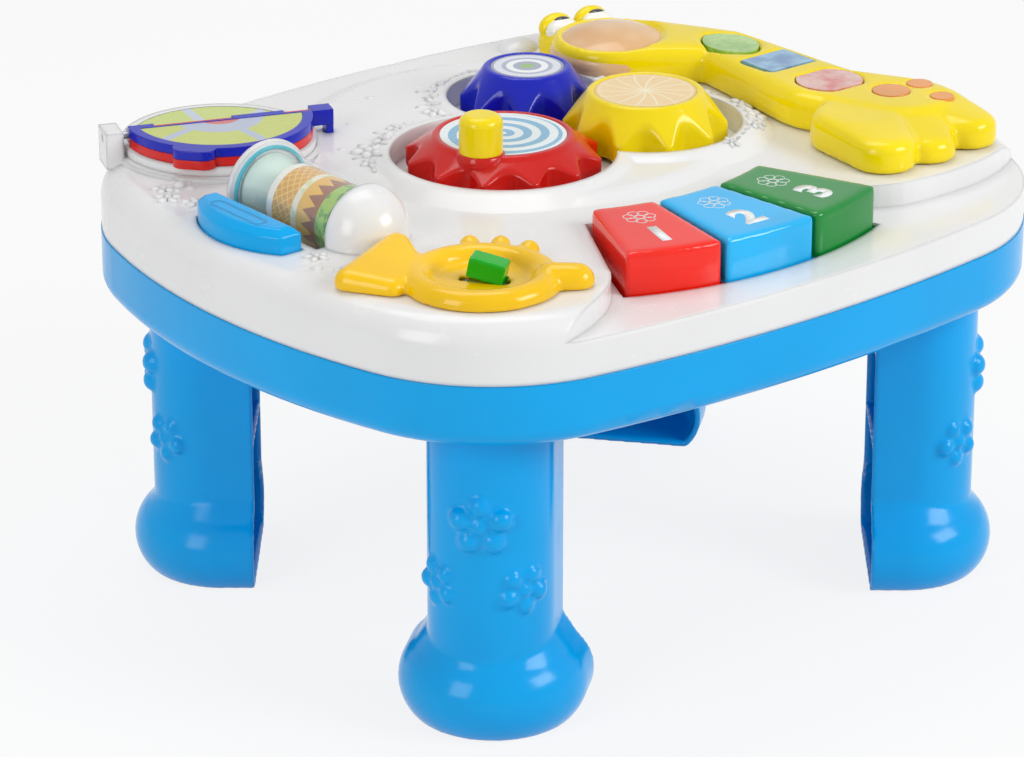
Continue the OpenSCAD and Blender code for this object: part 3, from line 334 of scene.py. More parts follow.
CELL_MIDDLE, JACKET_HALF = (0, 0.062, 0.14), 0.016
f = Finish("cell_jacket")
x, _, _ = f.split(f.place(centre=CELL_MIDDLE))
band = x.abs() > JACKET_HALF
jacket = f.solid({"Base Color": f.mix(paint("2a2d33"), paint("b98a3c"), band), "Metallic": band * 0.6,
                  "Roughness": 0.24 + 0.12 * f.noise(f.place(), size=0.005)})
dress(jacket, "batteries")
print("electrics dressed")

# %% [markdown]
# ## Printed labels
# The real toy has paper stickers under clear film. A picture would do for one
# view, but each is drawn here as maths in polar coordinates round its own
# centre, which stays sharp at any size. The motifs are plain ones: a swirl,
# slices, rings, slats and leaves, in the colours and scale of real prints.

# %% Printed paper
RED, YELLOW, BLUE = (-23.8, 11.4), (48.987, 4.648), (30.523, 62.156)   # the gears' axes, mm
BOOK, BOOK_TURN = (-106.5, 101), math.radians(-21.25)


def printed(f, colour):
    """a sticker: ink that shifts a little, paper fibres and a film with faint waves"""
    where = f.place()
    waves = f.noise(where, size=0.0006, detail=3) + 0.5 * f.noise(where, size=0.004)
    return f.solid({"Base Color": f.mix(colour, (1, 1, 1, 1), 0.05 + 0.08 * f.noise(where, size=0.012)),
                    "Roughness": 0.2 + 0.15 * f.noise(where, size=0.01, detail=3),
                    "Normal": f.relief(waves, 0.15, 0.00005), "Coat Weight": 0.4, "Coat Roughness": 0.06})

# red gear: one spiral band, as on a spinning top
BAND_PITCH = 0.0074
f = Finish("swirl_print")
r, a = f.polar(RED)
band = (r / BAND_PITCH - a / TURN).off_middle().step(0.23, 0.27)
swirl = f.mix(paint("5fa9cf"), paint("e4eff0"), band)
dress(printed(f, f.mix(swirl, paint("e4eff0"), r.past(0.0250))), "gear_red_print")

# yellow gear: pale slices with curved ribs
SLICES, CURL, SLICE_END = 14, 26.0, 0.014
f = Finish("slices_print")
r, a = f.polar(YELLOW)
rib = (0.5 - (a * (SLICES / TURN) + r * CURL).off_middle()) * (r / SLICE_END)
slices = f.mix(paint("f7ecc4"), paint("edc175"), rib.step(0.02, 0.10))
slices = f.mix(slices, paint("f6e6b0"), f.noise(f.place(), size=0.002) * 0.5)
slices = f.mix(slices, paint("f3d79c"), r.past(0.0194))
dress(printed(f, f.mix(slices, paint("e7bd5a"), r.past(0.0208))), "gear_yellow_print")

# blue gear: rings
f = Finish("rings_print")
r, _ = f.polar(BLUE)
rings = paint("7fae4a")
for edge, code in ((0.00315, "8e9bb4"), (0.0062, "f1f3f5"), (0.0092, "9aa6c0"), (0.0112, "d9dde8"),
                   (0.0146, "8089a8")):
    rings = f.mix(rings, paint(code), r.past(edge))
dress(printed(f, rings), "gear_blue_print")
print("gear stickers drawn")

# %% Pages of the book: inlays between spokes, round a coloured middle
def pages(name, spokes, shift, ink, ring, middle):
    f = Finish(name)
    r, a = f.polar(BOOK, BOOK_TURN)
    from_spoke = (0.5 - (a * (spokes / TURN) + shift).off_middle()) * r * (TURN / spokes)
    inlay = f.mix(paint(ink), paint("d8da6a"), f.noise(f.place(), size=0.01) * 0.3)
    art = f.mix(paint(ring), inlay, from_spoke.past(0.00215) * r.past(0.01895))
    return printed(f, f.mix(paint(middle), art, r.past(0.00895)))

dress(pages("book_print_top", 5, 0.0, "b6c420", "a9b4cc", "c93a28"), "page_blue_card")
dress(pages("book_print_mid", 6, 0.25, "e2b43a", "c9d6e6", "3f7fbf"), "page_red_card")
dress(pages("book_print_base", 7, 0.1, "b9cf4a", "bcc6dc", "d4574a"), "book_base_card")
print("book printed")

# %% Roller: leaves, a golden band with darker wedges, cream, and slats
DRUM_AXIS, LABEL_RADIUS, LABEL_START = (-0.125, 0, 0.190), 15.25, -0.021
f = Finish("roller_print")
x, y, z = f.split(f.place(centre=DRUM_AXIS))
u, v = angle(x, z) * LABEL_RADIUS, (y - LABEL_START) * 1000.0     # millimetres round and along
slat = ((u * 0.6 + v * 0.8) / 3.0).off_middle().most(((u * 0.8 - v * 0.6) / 3.0).off_middle())
basket = f.mix(paint("d99a2e"), paint("f0c65a"), slat.step(0.36, 0.44))
wedge = (u / 6.0).off_middle() * 2.0 - (v - 12.0) / 7.0
gold = f.mix(paint("e9b43c"), paint("96552a"), wedge.step(0.0, 0.08))
leafage = f.noise(f.place(), size=0.0035)
cream = f.mix(paint("efe9d6"), paint("d8dcae"), leafage.step(0.5, 0.56))
art = f.mix(paint("4f9a34"), paint("9ac24b"), leafage.step(0.42, 0.5))
for start, look in ((9.2, gold), (22.15, cream), (25.65, basket), (38.35, paint("f2efe6"))):
    art = f.mix(art, look, v.past(start, 0.15))
dress(printed(f, art), "drum_label")
print("prints:", [m.name for m in bpy.data.materials if "print" in m.name])

# %% [markdown]
# ## Clear and coloured windows
# The roller is a clear tube with thin walls. A refracting glass would darken
# the print inside, so the wall is see-through with a mirror layer that grows
# towards the rim by Layer Weight, on the outer side of the wall only. The
# giraffe's lenses are dyed and pebbled inside to scatter a diode's light, so
# they get a pattern of small cells.

# %% Clear tube
TUBE_GLOSS, TUBE_FLOOR = 0.35, 0.03     # mirror share at the rim, and where the wall faces us
f = Finish("clear_tube")
rim = f.add("ShaderNodeLayerWeight", None, {"Blend": 0.35}, out=1)
f.add("ShaderNodeNewGeometry")
front = 1 - Wire(f, f.last.outputs["Backfacing"])
shine = f.add("ShaderNodeBsdfPrincipled", None, {"Base Color": (0.95, 0.97, 1.0, 1.0), "Metallic": 1.0,
                                                 "Roughness": 0.05 + 0.06 * f.noise(f.place(), size=0.006)})
through = f.add("ShaderNodeBsdfTransparent", None, {"Color": (0.99, 0.995, 0.995, 1.0)})
mirror = (rim * rim * TUBE_GLOSS + TUBE_FLOOR) * front
dress(f.close(f.add("ShaderNodeMixShader", None, {0: mirror, 1: through, 2: shine})), "drum_tube")
print("tube clear")

# %% Lenses, face, spots and eyes
PEBBLES = 420.0        # cells of a lens to the metre


def lens_skin(name, code, pale, deep):
    f = Finish(name)
    where = f.place()
    cells = f.add("ShaderNodeTexVoronoi", {"feature": "F1"}, {"Vector": where, "Scale": PEBBLES})
    pebbled = f.mix(paint(code), paint(pale), cells.step(0.1, 0.7) * 0.55)
    dyed = f.mix(paint(deep), pebbled, f.noise(where, size=0.014).step(0.25, 0.6))
    return f.solid({"Base Color": dyed, "Roughness": 0.10 + 0.08 * cells,
                    "Normal": f.relief(cells, 0.25, 0.0003), "Coat Weight": 1.0, "Coat Roughness": 0.04})

dress(lens_skin("lens_green", "8cc63e", "c4e08a", "6fae2c"), "lens_green")
dress(lens_skin("lens_blue", "5aa6d6", "9fcbe2", "2f78b4"), "lens_blue")
dress(lens_skin("lens_red", "dfa59a", "e8c6bc", "d2493c"), "lens_red")

f = Finish("peach_face")
blush = f.mix(paint("dcab78"), paint("e9c79c"), f.noise(f.place(), size=0.03).step(0.3, 0.7))
peach = plastic("peach_face", "e0b184", gloss=0.14, edge=0.001, colour=blush, finish=f)
eye_black = plastic("eye_black", "15120f", gloss=0.08, drift=0.1, coat=0.8)
dress(peach, "giraffe_face")
dress(plastic("orange_spots", "f0a25a", gloss=0.16, drift=0.08, edge=0.0008), "giraffe_spots")
dress(eye_black, "giraffe_eyes")


def is_bare(node):
    """true while a node has no material, or one without a real node tree"""
    material = node.data.materials[0] if node.data.materials else None
    return not material or not material.node_tree or len(material.node_tree.nodes) < 5

print("nodes still without a finish:", [name for name, node in nodes.items() if is_bare(node)])

# %% [markdown]
# ## New pieces beside the solids
# A new piece is a finished mesh whose place is in its points, so its object
# stays at the origin. It hangs on an empty of the body it moves with, and the
# solid it stands for is hidden. It could be parented by hand; here a call does it.

# %% Placing a new piece
def piece(name, mesh, material, body, stands_for=None):
    """links a finished mesh, smooths its light, hangs it on its body's empty and hides the solid it stands
    for
    """
    mesh.materials.clear()
    mesh.materials.append(material)
    mesh.polygons.foreach_set("use_smooth", [True] * len(mesh.polygons))
    o = linked(name, mesh)
    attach(o, body)
    if stands_for:
        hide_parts(stands_for)


def as_mesh(bm, name):
    mesh = bpy.data.meshes.new(name)
    bm.to_mesh(mesh)
    bm.free()
    return mesh


def finished(bm, name):
    """a mesh whose faces all point outwards"""
    bmesh.ops.recalc_face_normals(bm, faces=bm.faces)
    return as_mesh(bm, name)


def frozen(holder, name):
    """the mesh of an object as its modifiers leave it; the object itself goes"""
    evaluated = holder.evaluated_get(bpy.context.evaluated_depsgraph_get())
    mesh = bpy.data.meshes.new_from_object(evaluated)
    mesh.name = name
    bpy.data.objects.remove(holder)
    return mesh

print("pieces can be placed")

# %% [markdown]
# ## Soft skins for the moulded forms
# The fish and the giraffe have no hard edge anywhere, and the legs run into
# their bulb feet in one line. Their solids are joined from plain bodies, which
# leaves creases. A copy is merged, wrapped in an even net by a voxel remesh
# and relaxed, and that skin stands for the solid. Sculpting by hand would do
# the same, but would not follow a changed solid.

# %% A copy of a solid, relaxed
def solid_copy(node):
    """a merged copy of a solid's triangles"""
    bm = bmesh.new()
    bm.from_mesh(nodes[node].data)
    bmesh.ops.remove_doubles(bm, verts=bm.verts, dist=2e-6)
    return bm


def softened(bm, name, net, rounds):
    """the surface of a closed form as an even, relaxed net with cells of net metres"""
    holder = linked(name + "_net", as_mesh(bm, name + "_form"))
    remesh = holder.modifiers.new("net", "REMESH")
    remesh.mode, remesh.voxel_size = "VOXEL", net
    relax = holder.modifiers.new("relax", "SMOOTH")
    relax.factor, relax.iterations = 0.5, rounds
    mesh = frozen(holder, name)
    print(name, "faces", len(mesh.polygons))
    return mesh

for corner in LEG_CORNERS:
    leg = softened(solid_copy(f"leg_{corner}"), f"leg_{corner}_skin", net=0.0010, rounds=3)
    piece(f"leg_{corner}_skin", leg, sky, "table", f"leg_{corner}")
fish = softened(solid_copy("fish_body"), "fish_skin", net=0.0009, rounds=14)
piece("fish_skin", fish, fish_yellow, "table", "fish_body")

# %% [markdown]
# ## Windows in the giraffe's skin
# Relaxing a net draws its holes a little closed, and a pressed lens would then
# cut into the skin. The holes could be kept out of the relaxing by a vertex
# group. It is surer to cut them again: each lens is copied, made a little
# wider and taller, and taken out of the skin.

# %% The giraffe's skin, opened for its lenses
LENS_ROOM = 1.045                     # how much wider than its lens a window is
LENS_UNDERSIDE = (0.1930, 0.1965)     # the heights between which a lens ends
WINDOW_FLOOR, WINDOW_TOP = 0.1902, 0.2120


def window_cutter(lens):
    bm = solid_copy(lens)
    low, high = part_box(lens)
    middle = (Vector(low) + Vector(high)) / 2
    for v in bm.verts:
        if LENS_UNDERSIDE[0] < v.co.z < LENS_UNDERSIDE[1]:
            v.co.z = WINDOW_FLOOR
        elif v.co.z > 0.2:
            v.co.z = WINDOW_TOP
    about = Matrix.Translation((-middle.x, -middle.y, 0))
    bmesh.ops.scale(bm, vec=(LENS_ROOM, LENS_ROOM, 1), verts=bm.verts, space=about)
    return as_mesh(bm, lens + "_cutter")


def windows_cut(mesh, lenses):
    """opens a skin again round each lens, deep enough for its travel"""
    cutters = bmesh.new()
    for lens in lenses:
        cutters.from_mesh(window_cutter(lens))
    tool = linked("window_cutters", finished(cutters, "window_cutters"))
    holder = linked("skin_holder", mesh)
    cut = holder.modifiers.new("windows", "BOOLEAN")
    cut.operation, cut.solver, cut.object = "DIFFERENCE", "EXACT", tool
    opened = frozen(holder, mesh.name)
    bpy.data.objects.remove(tool)
    print("windows cut, faces", len(opened.polygons))
    return opened

giraffe = softened(solid_copy("giraffe_body"), "giraffe_skin", net=0.0011, rounds=22)
giraffe = windows_cut(giraffe, ("lens_green", "lens_blue", "lens_red"))
piece("giraffe_skin", giraffe, yellow, "table", "giraffe_body")

# %% [markdown]
# ## Pleated gears
# Each toy gear is a shallow cup whose flank is drawn in between the teeth, so
# the edge runs round it in waves that meet the slope in a soft line. The
# section is spun once round the axis, and every point of the flank is then
# moved inwards where a pleat is. Cutting the pleats with cylinders would leave
# a hard edge that a toy for small hands doesn't have.

# %% Sections and curves, in millimetres
def spun(section, steps):
    """a section of radius and height, in millimetres, spun about the upright axis"""
    bm = bmesh.new()
    line = [bm.verts.new((r * MM, 0, z * MM)) for r, z in section]
    edges = [bm.edges.new(pair) for pair in zip(line, line[1:])]
    bmesh.ops.spin(bm, geom=line + edges, cent=(0, 0, 0), axis=(0, 0, 1),
                   angle=TURN, steps=steps, use_merge=True)
    bmesh.ops.remove_doubles(bm, verts=bm.verts, dist=2e-6)
    return bm


def between(a, b, count):
    """count points from a towards b, without b"""
    return [(a[0] + (b[0] - a[0]) * i / count, a[1] + (b[1] - a[1]) * i / count) for i in range(count)]


def soft_least(a, b, blend):
    """the smaller of two values, with a soft passage where they are within blend"""
    share = max(0.0, min(1.0, 0.5 + 0.5 * (b - a) / blend))
    return b + (a - b) * share - blend * share * (1 - share)

print("sections ready")

# %% Gears as spun and pleated cups
FOOT, WELL_EDGE = 182, 190                               # heights of a gear's foot and cylinder
PLEAT_DEPTH, PLEAT_HALF, PLEAT_BLEND = 6.2, 9.3, 2.2     # millimetres


def cup_section(tip, rim, top):
    """from the middle of the underside, round the foot and up the flank to the top"""
    hollow = tip - 10.2
    post = [(0, top - 2.4), (5.6, top - 2.4), (5.6, 193.2), (4.6, 193.2), (4.6, FOOT), (7.2, FOOT)]
    inside = post + [(7.2, top - 4), (rim - 2.4, top - 4), (hollow, WELL_EDGE), (hollow, FOOT)]
    foot = between((hollow, FOOT), (tip - 1, FOOT), 3)[1:] + [(tip - 0.3, FOOT + 0.3)]
    upright = between((tip, FOOT + 1), (tip, WELL_EDGE - 0.2), 10)
    flank = between((tip - 0.1, WELL_EDGE + 0.5), (rim + 1.3, top - 1.6), 30)
    edge = [(rim + 0.9, top - 0.9), (rim + 0.2, top - 0.25), (rim - 0.6, top), (rim - 2.2, top)]
    seat = [(rim - 2.6, top - 0.3), (rim - 2.6, top - 0.8), (0, top - 0.8)]
    return inside + foot + upright + flank + edge + seat


def pleated(bm, tip, rim, top, teeth, phase):
    """draws the flank in where a pleat is, and leaves the inner wall and the top"""
    hollow, pitch = tip - 10.2, 360 / teeth
    lean = (hollow - rim + 2.4) / (top - 4 - WELL_EDGE)
    for v in bm.verts:
        r, z = math.hypot(v.co.x, v.co.y) / MM, v.co.z / MM
        inner_wall = r < hollow + 0.5 - (z - WELL_EDGE) * lean
        if r <= hollow + 2 or inner_wall or z > top - 0.8:
            continue
        away = (math.degrees(math.atan2(v.co.y, v.co.x)) - phase) % pitch
        away = math.radians(min(away, pitch - away)) * tip
        pleat = tip - PLEAT_DEPTH * (1 - (away / PLEAT_HALF) ** 2)
        drawn = soft_least(r, pleat, PLEAT_BLEND) / r
        v.co.x, v.co.y = v.co.x * drawn, v.co.y * drawn


def gear_skin(name, centre, tip, rim, top, teeth, phase, stud=None):
    """tip is the radius over the teeth, rim the radius of the upper edge, top its height"""
    bm = spun(cup_section(tip, rim, top), 400)
    pleated(bm, tip, rim, top, teeth, phase)
    if stud:
        post = spun([(0, 190), (9.9, 190), (9.9, top + 0.1), (9.4, top + 0.5), (3.0, top + 0.5),
                     (3.0, top + 11.6), (2.4, top + 12), (0, top + 12)], 64)
        bmesh.ops.translate(post, vec=(stud[0] * MM, stud[1] * MM, 0), verts=post.verts)
        bm.from_mesh(as_mesh(post, name + "_stud"))
    bmesh.ops.translate(bm, vec=(centre[0] * MM, centre[1] * MM, 0), verts=bm.verts)
    return finished(bm, name)

for hue, material, measures in (("red", gear_red, (RED, 42, 29.5, 199, 12, -5.3, (-22.5, -13.2))),
                                ("yellow", yellow, (YELLOW, 35.5, 24.5, 204.5, 10, 12.7)),
                                ("blue", royal_blue, (BLUE, 29.3, 18.6, 204.5, 8, 24.175))):
    name = f"gear_{hue}_skin"
    piece(name, gear_skin(name, *measures), material, f"{hue}_gear", f"gear_{hue}")
print("gears pleated")

# %% [markdown]
# ## Press bar
# The bar's top is chamfered all round and pressed with one long slot. It
# starts as a disc, cut to its plan by three planes, pulled up, and inset for
# the chamfer; relaxing its net then takes the sharpness off. A bevel on the
# thin edge tore it. The slot is only half a millimetre deep, so it is drawn as
# a bump, and its colour is darkened there as painted shade.

# %% Press bar
BAR_Y, BAR_FOOT, BAR_WALL = 0.0102, 0.1822, 0.0108        # middle, lower side, height below the chamfer
BAR_PLANES = (((-0.1515, 0, 0), (1, 0, 0)), ((0, 0.039, 0), (0, 1, 0)), ((0, -0.0186, 0), (0, -1, 0)))


def cut_off(bm, spot, normal):
    """takes away what lies beyond a plane"""
    everything = bm.verts[:] + bm.edges[:] + bm.faces[:]
    bmesh.ops.bisect_plane(bm, geom=everything, plane_co=spot, plane_no=normal, clear_outer=True)

f = Finish("press_bar_blue")
x, y, z = f.split(f.place(centre=(-0.162, BAR_Y, 0.196)))
rim = radius(x, (y.abs() - 0.014).most(0.0)) - 0.0027
# the slot's mask: the plastic presses it in as a bump and darkens it as painted shade
slot = rim.abs().step(0.0003, 0.0008, 1.0, 0.0) * (z > -0.0012)
bar_blue = plastic("press_bar_blue", "00aaf0", drift=0.02, coat=0.05, scuffs=0.1, specular=0.2,
                   groove_and_shade=slot, finish=f)

bm = bmesh.new()
disc = Matrix.Translation((-0.1235, BAR_Y, BAR_FOOT))
bmesh.ops.create_circle(bm, cap_ends=True, segments=160, radius=0.048, matrix=disc)
for spot, normal in BAR_PLANES:
    cut_off(bm, spot, normal)
raised = bmesh.ops.extrude_face_region(bm, geom=bm.faces[:])["geom"]
bmesh.ops.translate(bm, vec=(0, 0, BAR_WALL), verts=[g for g in raised if isinstance(g, bmesh.types.BMVert)])
bmesh.ops.recalc_face_normals(bm, faces=bm.faces)
lid = max(bm.faces, key=lambda face: face.calc_center_median().z)
bmesh.ops.inset_region(bm, faces=[lid], thickness=0.0034, depth=0.0030, use_even_offset=True)
bmesh.ops.recalc_face_normals(bm, faces=bm.faces)
piece("press_bar_skin", softened(bm, "press_bar_skin", net=0.0006, rounds=6), bar_blue, "bar", "press_bar")

# %% [markdown]
# ## Keys and slider knob
# The keys are rounded on every edge like bars of soap. A block is spun through
# the key's own angle, closed, and relaxed until its edges are as round as the
# mould's; the hinge eye and the plunger below come from the solid. A beveled
# box would keep straight sides, but the real ones are slices of a fan. The
# slider's knob is a leaning block, made the same way.

# %% Soap-bar keys
KEY_FAN = Vector((2.2, 30.4, 0)) * MM               # the point that all keys point to
KEY_SECTION = ((111.1, 172.5), (165.9, 172.5), (165.9, 194), (111.1, 194))
KEY_GAP = 0.04                                      # degrees left free on each side
KEY_ANGLES = {"red": (-24.8, -10.25), "blue": (-9.65, 6.3), "green": (6.9, 22.1)}


def on_its_foot(node, height, block, name):
    """a solid's own lower part, up to a height, with a softened block above it"""
    bm = solid_copy(node)
    cut_off(bm, (0, 0, height), (0, 0, 1))
    bm.from_mesh(block)
    return as_mesh(bm, name)


def key_block(name, low, high):
    """a slice of the fan between two angles, in degrees from the front"""
    bm = bmesh.new()
    line = [bm.verts.new((r * MM, 0, z * MM)) for r, z in KEY_SECTION]
    edges = [bm.edges.new((line[i], line[(i + 1) % 4])) for i in range(4)]
    bmesh.ops.spin(bm, geom=line + edges, cent=(0, 0, 0), axis=(0, 0, 1),
                   angle=math.radians(high - low - 2 * KEY_GAP), steps=20)
    bmesh.ops.holes_fill(bm, edges=[e for e in bm.edges if e.is_boundary], sides=0)
    bmesh.ops.recalc_face_normals(bm, faces=bm.faces)
    start = Matrix.Rotation(math.radians(low - 90 + KEY_GAP), 4, "Z")
    bmesh.ops.transform(bm, matrix=Matrix.Translation(KEY_FAN) @ start, verts=bm.verts)
    return softened(bm, name, net=0.0011, rounds=26)

for hue, material in (("red", key_red), ("blue", key_blue), ("green", key_green)):
    block = key_block(f"key_{hue}_block", *KEY_ANGLES[hue])
    key = on_its_foot(f"key_{hue}", 0.1758, block, f"key_{hue}_skin")
    piece(f"key_{hue}_skin", key, material, f"{hue}_key", f"key_{hue}")

# %% Leaning knob of the fish
FISH = Matrix.Translation((-0.1195, -0.094, 0)) @ Matrix.Rotation(math.radians(-53), 4, "Z")
KNOB_SIZE = (0.0150, 0.0098, 0.0088)
leaning = Matrix.Translation((0.0025, 0, 0.1931)) @ Matrix.Rotation(math.radians(12), 4, "Y")
bm = bmesh.new()
bmesh.ops.create_cube(bm, size=1.0, matrix=FISH @ leaning @ Matrix.Diagonal((*KNOB_SIZE, 1)))
block = softened(bm, "knob_block", net=0.0005, rounds=14)
knob = on_its_foot("fish_knob", 0.1886, block, "fish_knob_skin")
piece("fish_knob_skin", knob, knob_green, "fish_slider", "fish_knob")
print("keys and knob made")

# %% [markdown]
# ## The giraffe's muzzle and eyes
# The muzzle is a low peach cushion, and each eye a white dome with a pupil
# under a yellow lid. All are squashed spheres that sink into the head, as the
# moulding's own domes do. A relaxed net would wash out forms this small.

# %% Muzzle and eyes
EYES = ((86.5, 106.0), (105.5, 104.5))
EYE_TURN = -0.08
eye_white = plastic("eye_white", "f4f3ee", gloss=0.1, drift=0.01, coat=0.5)


def dome(bm, centre, radii, turn=0.0, placed=Matrix(), around=40, up=24):
    """a sphere squashed to three radii, in millimetres, and turned about its own axis"""
    squashed = Matrix.Diagonal((*[r * MM for r in radii], 1))
    spot = placed @ Matrix.Translation(Vector(centre) * MM) @ Matrix.Rotation(turn, 4, "Z") @ squashed
    bmesh.ops.create_uvsphere(bm, u_segments=around, v_segments=up, radius=1.0, matrix=spot)


def eye_part(name, material, shift, radii, stands_for=None):
    bm = bmesh.new()
    for x, y in EYES:
        dome(bm, (x + shift[0], y + shift[1], shift[2]), radii, EYE_TURN)
    piece(name, finished(bm, name), material, "table", stands_for)

bm = bmesh.new()
dome(bm, (91.5, 77.5, 194.4), (27.8, 27.4, 12.0))
piece("muzzle", finished(bm, "muzzle"), peach, "table", "giraffe_face")
eye_part("eye_white", eye_white, (0, 0, 198.0), (8.0, 6.2, 5.6))
eye_part("eye_pupil", eye_black, (0.3, 0.6, 201.9), (4.4, 3.0, 2.2), "giraffe_eyes")
eye_part("eye_lid", yellow, (0, 4.6, 198.6), (8.6, 5.2, 6.2))
print("muzzle and eyes made")

# %% [markdown]
# ## Marks on the keys
# Each key carries a numeral and a line drawing of a flower in one pale ink,
# pad-printed on its top. They could be painted by the key's material, but as
# thin shells of their own, 0.1 mm proud, they ride down with the key and can
# be left off. The numeral is a text curve made into a mesh; the petals are
# rings between two circles.

# %% Numerals
KEY_TOP, NUMERAL_LIFT, NUMERAL_SIZE = 0.1940, 0.00006, 0.021
ink_white = plastic("pad_print_white", "eef3f5", gloss=0.3, drift=0.01, coat=0.1)


def on_key(turn, radius, z=KEY_TOP):
    """the matrix of a spot on a key, whose up points to the middle of the fan"""
    heading = math.radians(-90 + turn)
    spot = KEY_FAN + Vector((math.cos(heading), math.sin(heading), 0)) * radius * MM
    return Matrix.Translation((spot.x, spot.y, z)) @ Matrix.Rotation(heading + math.pi / 2, 4, "Z")


def numeral(text, tall, placed, name):
    curve = bpy.data.curves.new(name, "FONT")
    curve.body, curve.size, curve.extrude, curve.offset = text, tall, 0.00008, tall * 0.05
    curve.align_x, curve.align_y, curve.resolution_u = "CENTER", "CENTER", 6
    bm = bmesh.new()
    bm.from_mesh(frozen(linked(name + "_text", curve), name + "_flat"))
    bmesh.ops.remove_doubles(bm, verts=bm.verts, dist=1e-6)
    bmesh.ops.transform(bm, matrix=placed, verts=bm.verts)
    return finished(bm, name)

print("numerals ready")

# %% Line flowers
PEN, INK = 0.00032, 0.0001        # width and thickness of a drawn line, metres


def ring(bm, centre, radius, placed):
    """a flat ring of one pen line round a centre"""
    spot = placed @ Matrix.Translation((centre[0], centre[1], 0))
    edges = []
    for r in (radius, radius - PEN):
        made = bmesh.ops.create_circle(bm, cap_ends=False, segments=28, radius=r, matrix=spot)["verts"]
        edges += {e for v in made for e in v.link_edges}
    faces = bmesh.ops.bridge_loops(bm, edges=edges)["faces"]
    lifted = bmesh.ops.extrude_face_region(bm, geom=faces)["geom"]
    bmesh.ops.translate(bm, vec=(0, 0, INK), verts=[g for g in lifted if isinstance(g, bmesh.types.BMVert)])


def line_flower(name, placed, petal=0.0031, petals=7):
    bm = bmesh.new()
    ring(bm, (0, 0), petal * 0.62, placed)
    for k in range(petals):
        t = TURN * k / petals
        ring(bm, (petal * 1.45 * math.cos(t), petal * 1.45 * math.sin(t)), petal * 0.78, placed)
    return finished(bm, name)

for number, (hue, turn) in enumerate((("red", -17.5), ("blue", -1.7), ("green", 14.5)), 1):
    digit, flower = f"numeral_{number}", f"line_flower_{number}"
    spot = on_key(turn, 149, KEY_TOP + NUMERAL_LIFT)
    piece(digit, numeral(str(number), NUMERAL_SIZE, spot, digit), ink_white, f"{hue}_key")
    piece(flower, line_flower(flower, on_key(turn, 128)), ink_white, f"{hue}_key")
print("keys marked 1, 2 and 3")

# %% [markdown]
# ## Raised flowers and leaves of the deck
# Round the gear wells, beside the roller and at the fish's tail the mould has
# a garland of little raised blossoms and leaves. Displacement would need a
# very fine deck; here each is a group of squashed spheres that sink into the
# deck, in its own plastic, and a ray cast finds the height and the slope.

# %% Blossoms and leaves
def on_deck(middle, degrees, far):
    """the frame of a spot on the deck, far millimetres from a middle"""
    t = math.radians(degrees)
    x, y = middle[0] + far * math.cos(t), middle[1] + far * math.sin(t)
    _, where, normal, _ = nodes["deck"].ray_cast((x * MM, y * MM, 0.3), (0, 0, -1))
    tilt = normal.to_track_quat("Z", "Y").to_matrix().to_4x4()
    return Matrix.Translation(where) @ tilt @ Matrix.Rotation(t, 4, "Z")


def bump(bm, placed, centre, radii, turn=0.0):
    """a dome with few faces, on a spot of the deck"""
    dome(bm, centre, radii, turn, placed, around=20, up=12)


def blossom(bm, placed, size, petals=5):
    for k in range(petals):
        t = TURN * (k + 0.2) / petals
        spot = (4.0 * size * math.cos(t), 4.0 * size * math.sin(t), 0)
        bump(bm, placed, spot, (2.9 * size, 2.1 * size, 1.7 * size), t)
    bump(bm, placed, (0, 0, 0.3), (1.9 * size, 1.9 * size, 1.9 * size))


def leaf(bm, placed, size, turn):
    bump(bm, placed, (0, 0, 0), (4.2 * size, 1.5 * size, 1.2 * size), turn)

print("blossoms and leaves ready")

# %% The garland
ROLLER_END, FISH_TAIL = (-160.6, 63.3), (-158, -39)
# round a middle: degrees, millimetres from it, size
garland = {RED: ((104, 57, 0.75), (121, 55, 0.9), (137, 57, 1.15), (152, 56, 0.8)),
           BLUE: ((166, 44, 0.85), (142, 43, 0.75), (116, 43, 0.8), (88, 43, 0.8), (60, 43, 0.8)),
           YELLOW: ((36, 51, 1.25), (52, 51, 1.3), (68, 50, 1.2), (20, 49, 0.8), (-9, 49, 0.8),
                    (-27, 49, 0.85), (-45, 47, 0.7), (-78, 46, 0.6)),
           ROLLER_END: ((60, 12, 0.8), (-60, 13, 0.9), (0, 1, 0.9)),
           FISH_TAIL: ((60, 11, 0.8), (-60, 11, 0.7))}
# round a middle: degrees, millimetres from it, size, turn in radians
leaves = {RED: ((112, 54, 0.8, 1.2), (113, 60, 0.7, 0.3), (129, 52, 0.8, 1.6), (129, 60, 0.8, 0.2),
                (145, 53, 0.8, 1.3), (144, 61, 0.8, 0.6), (96, 58, 0.8, 1.4), (160, 57, 0.8, 1.4)),
          BLUE: ((155, 41, 0.8, 1.1), (154, 47, 0.8, 0.4), (129, 41, 0.8, 1.1), (129, 47, 0.8, 0.5),
                 (102, 42, 0.8, 1.3), (74, 42, 0.8, 1.3), (176, 44, 0.7, 1.5)),
          YELLOW: ((11, 49, 0.7, 1.2), (0, 52, 0.7, 0.4), (-18, 46, 0.8, 1.2), (-19, 52, 0.8, 0.5),
                   (-36, 46, 0.8, 1.5), (-38, 51, 0.8, 0.6), (-54, 45, 0.6, 1.3), (-62, 45, 0.5, 1.5),
                   (-70, 45.5, 0.5, 1.4))}
bm = bmesh.new()
for middle, spots in garland.items():
    for degrees, far, size in spots:
        blossom(bm, on_deck(middle, degrees, far), size)
for middle, spots in leaves.items():
    for degrees, far, size, turn in spots:
        leaf(bm, on_deck(middle, degrees, far), size, turn)
dome(bm, (77.6, 125.8, 185.0), (11, 8, 6.0), 0.3)      # the low mound behind the giraffe's eyes
piece("garland", finished(bm, "garland"), white, "table")
print("blossoms:", sum(map(len, garland.values())), "leaves:", sum(map(len, leaves.values())))

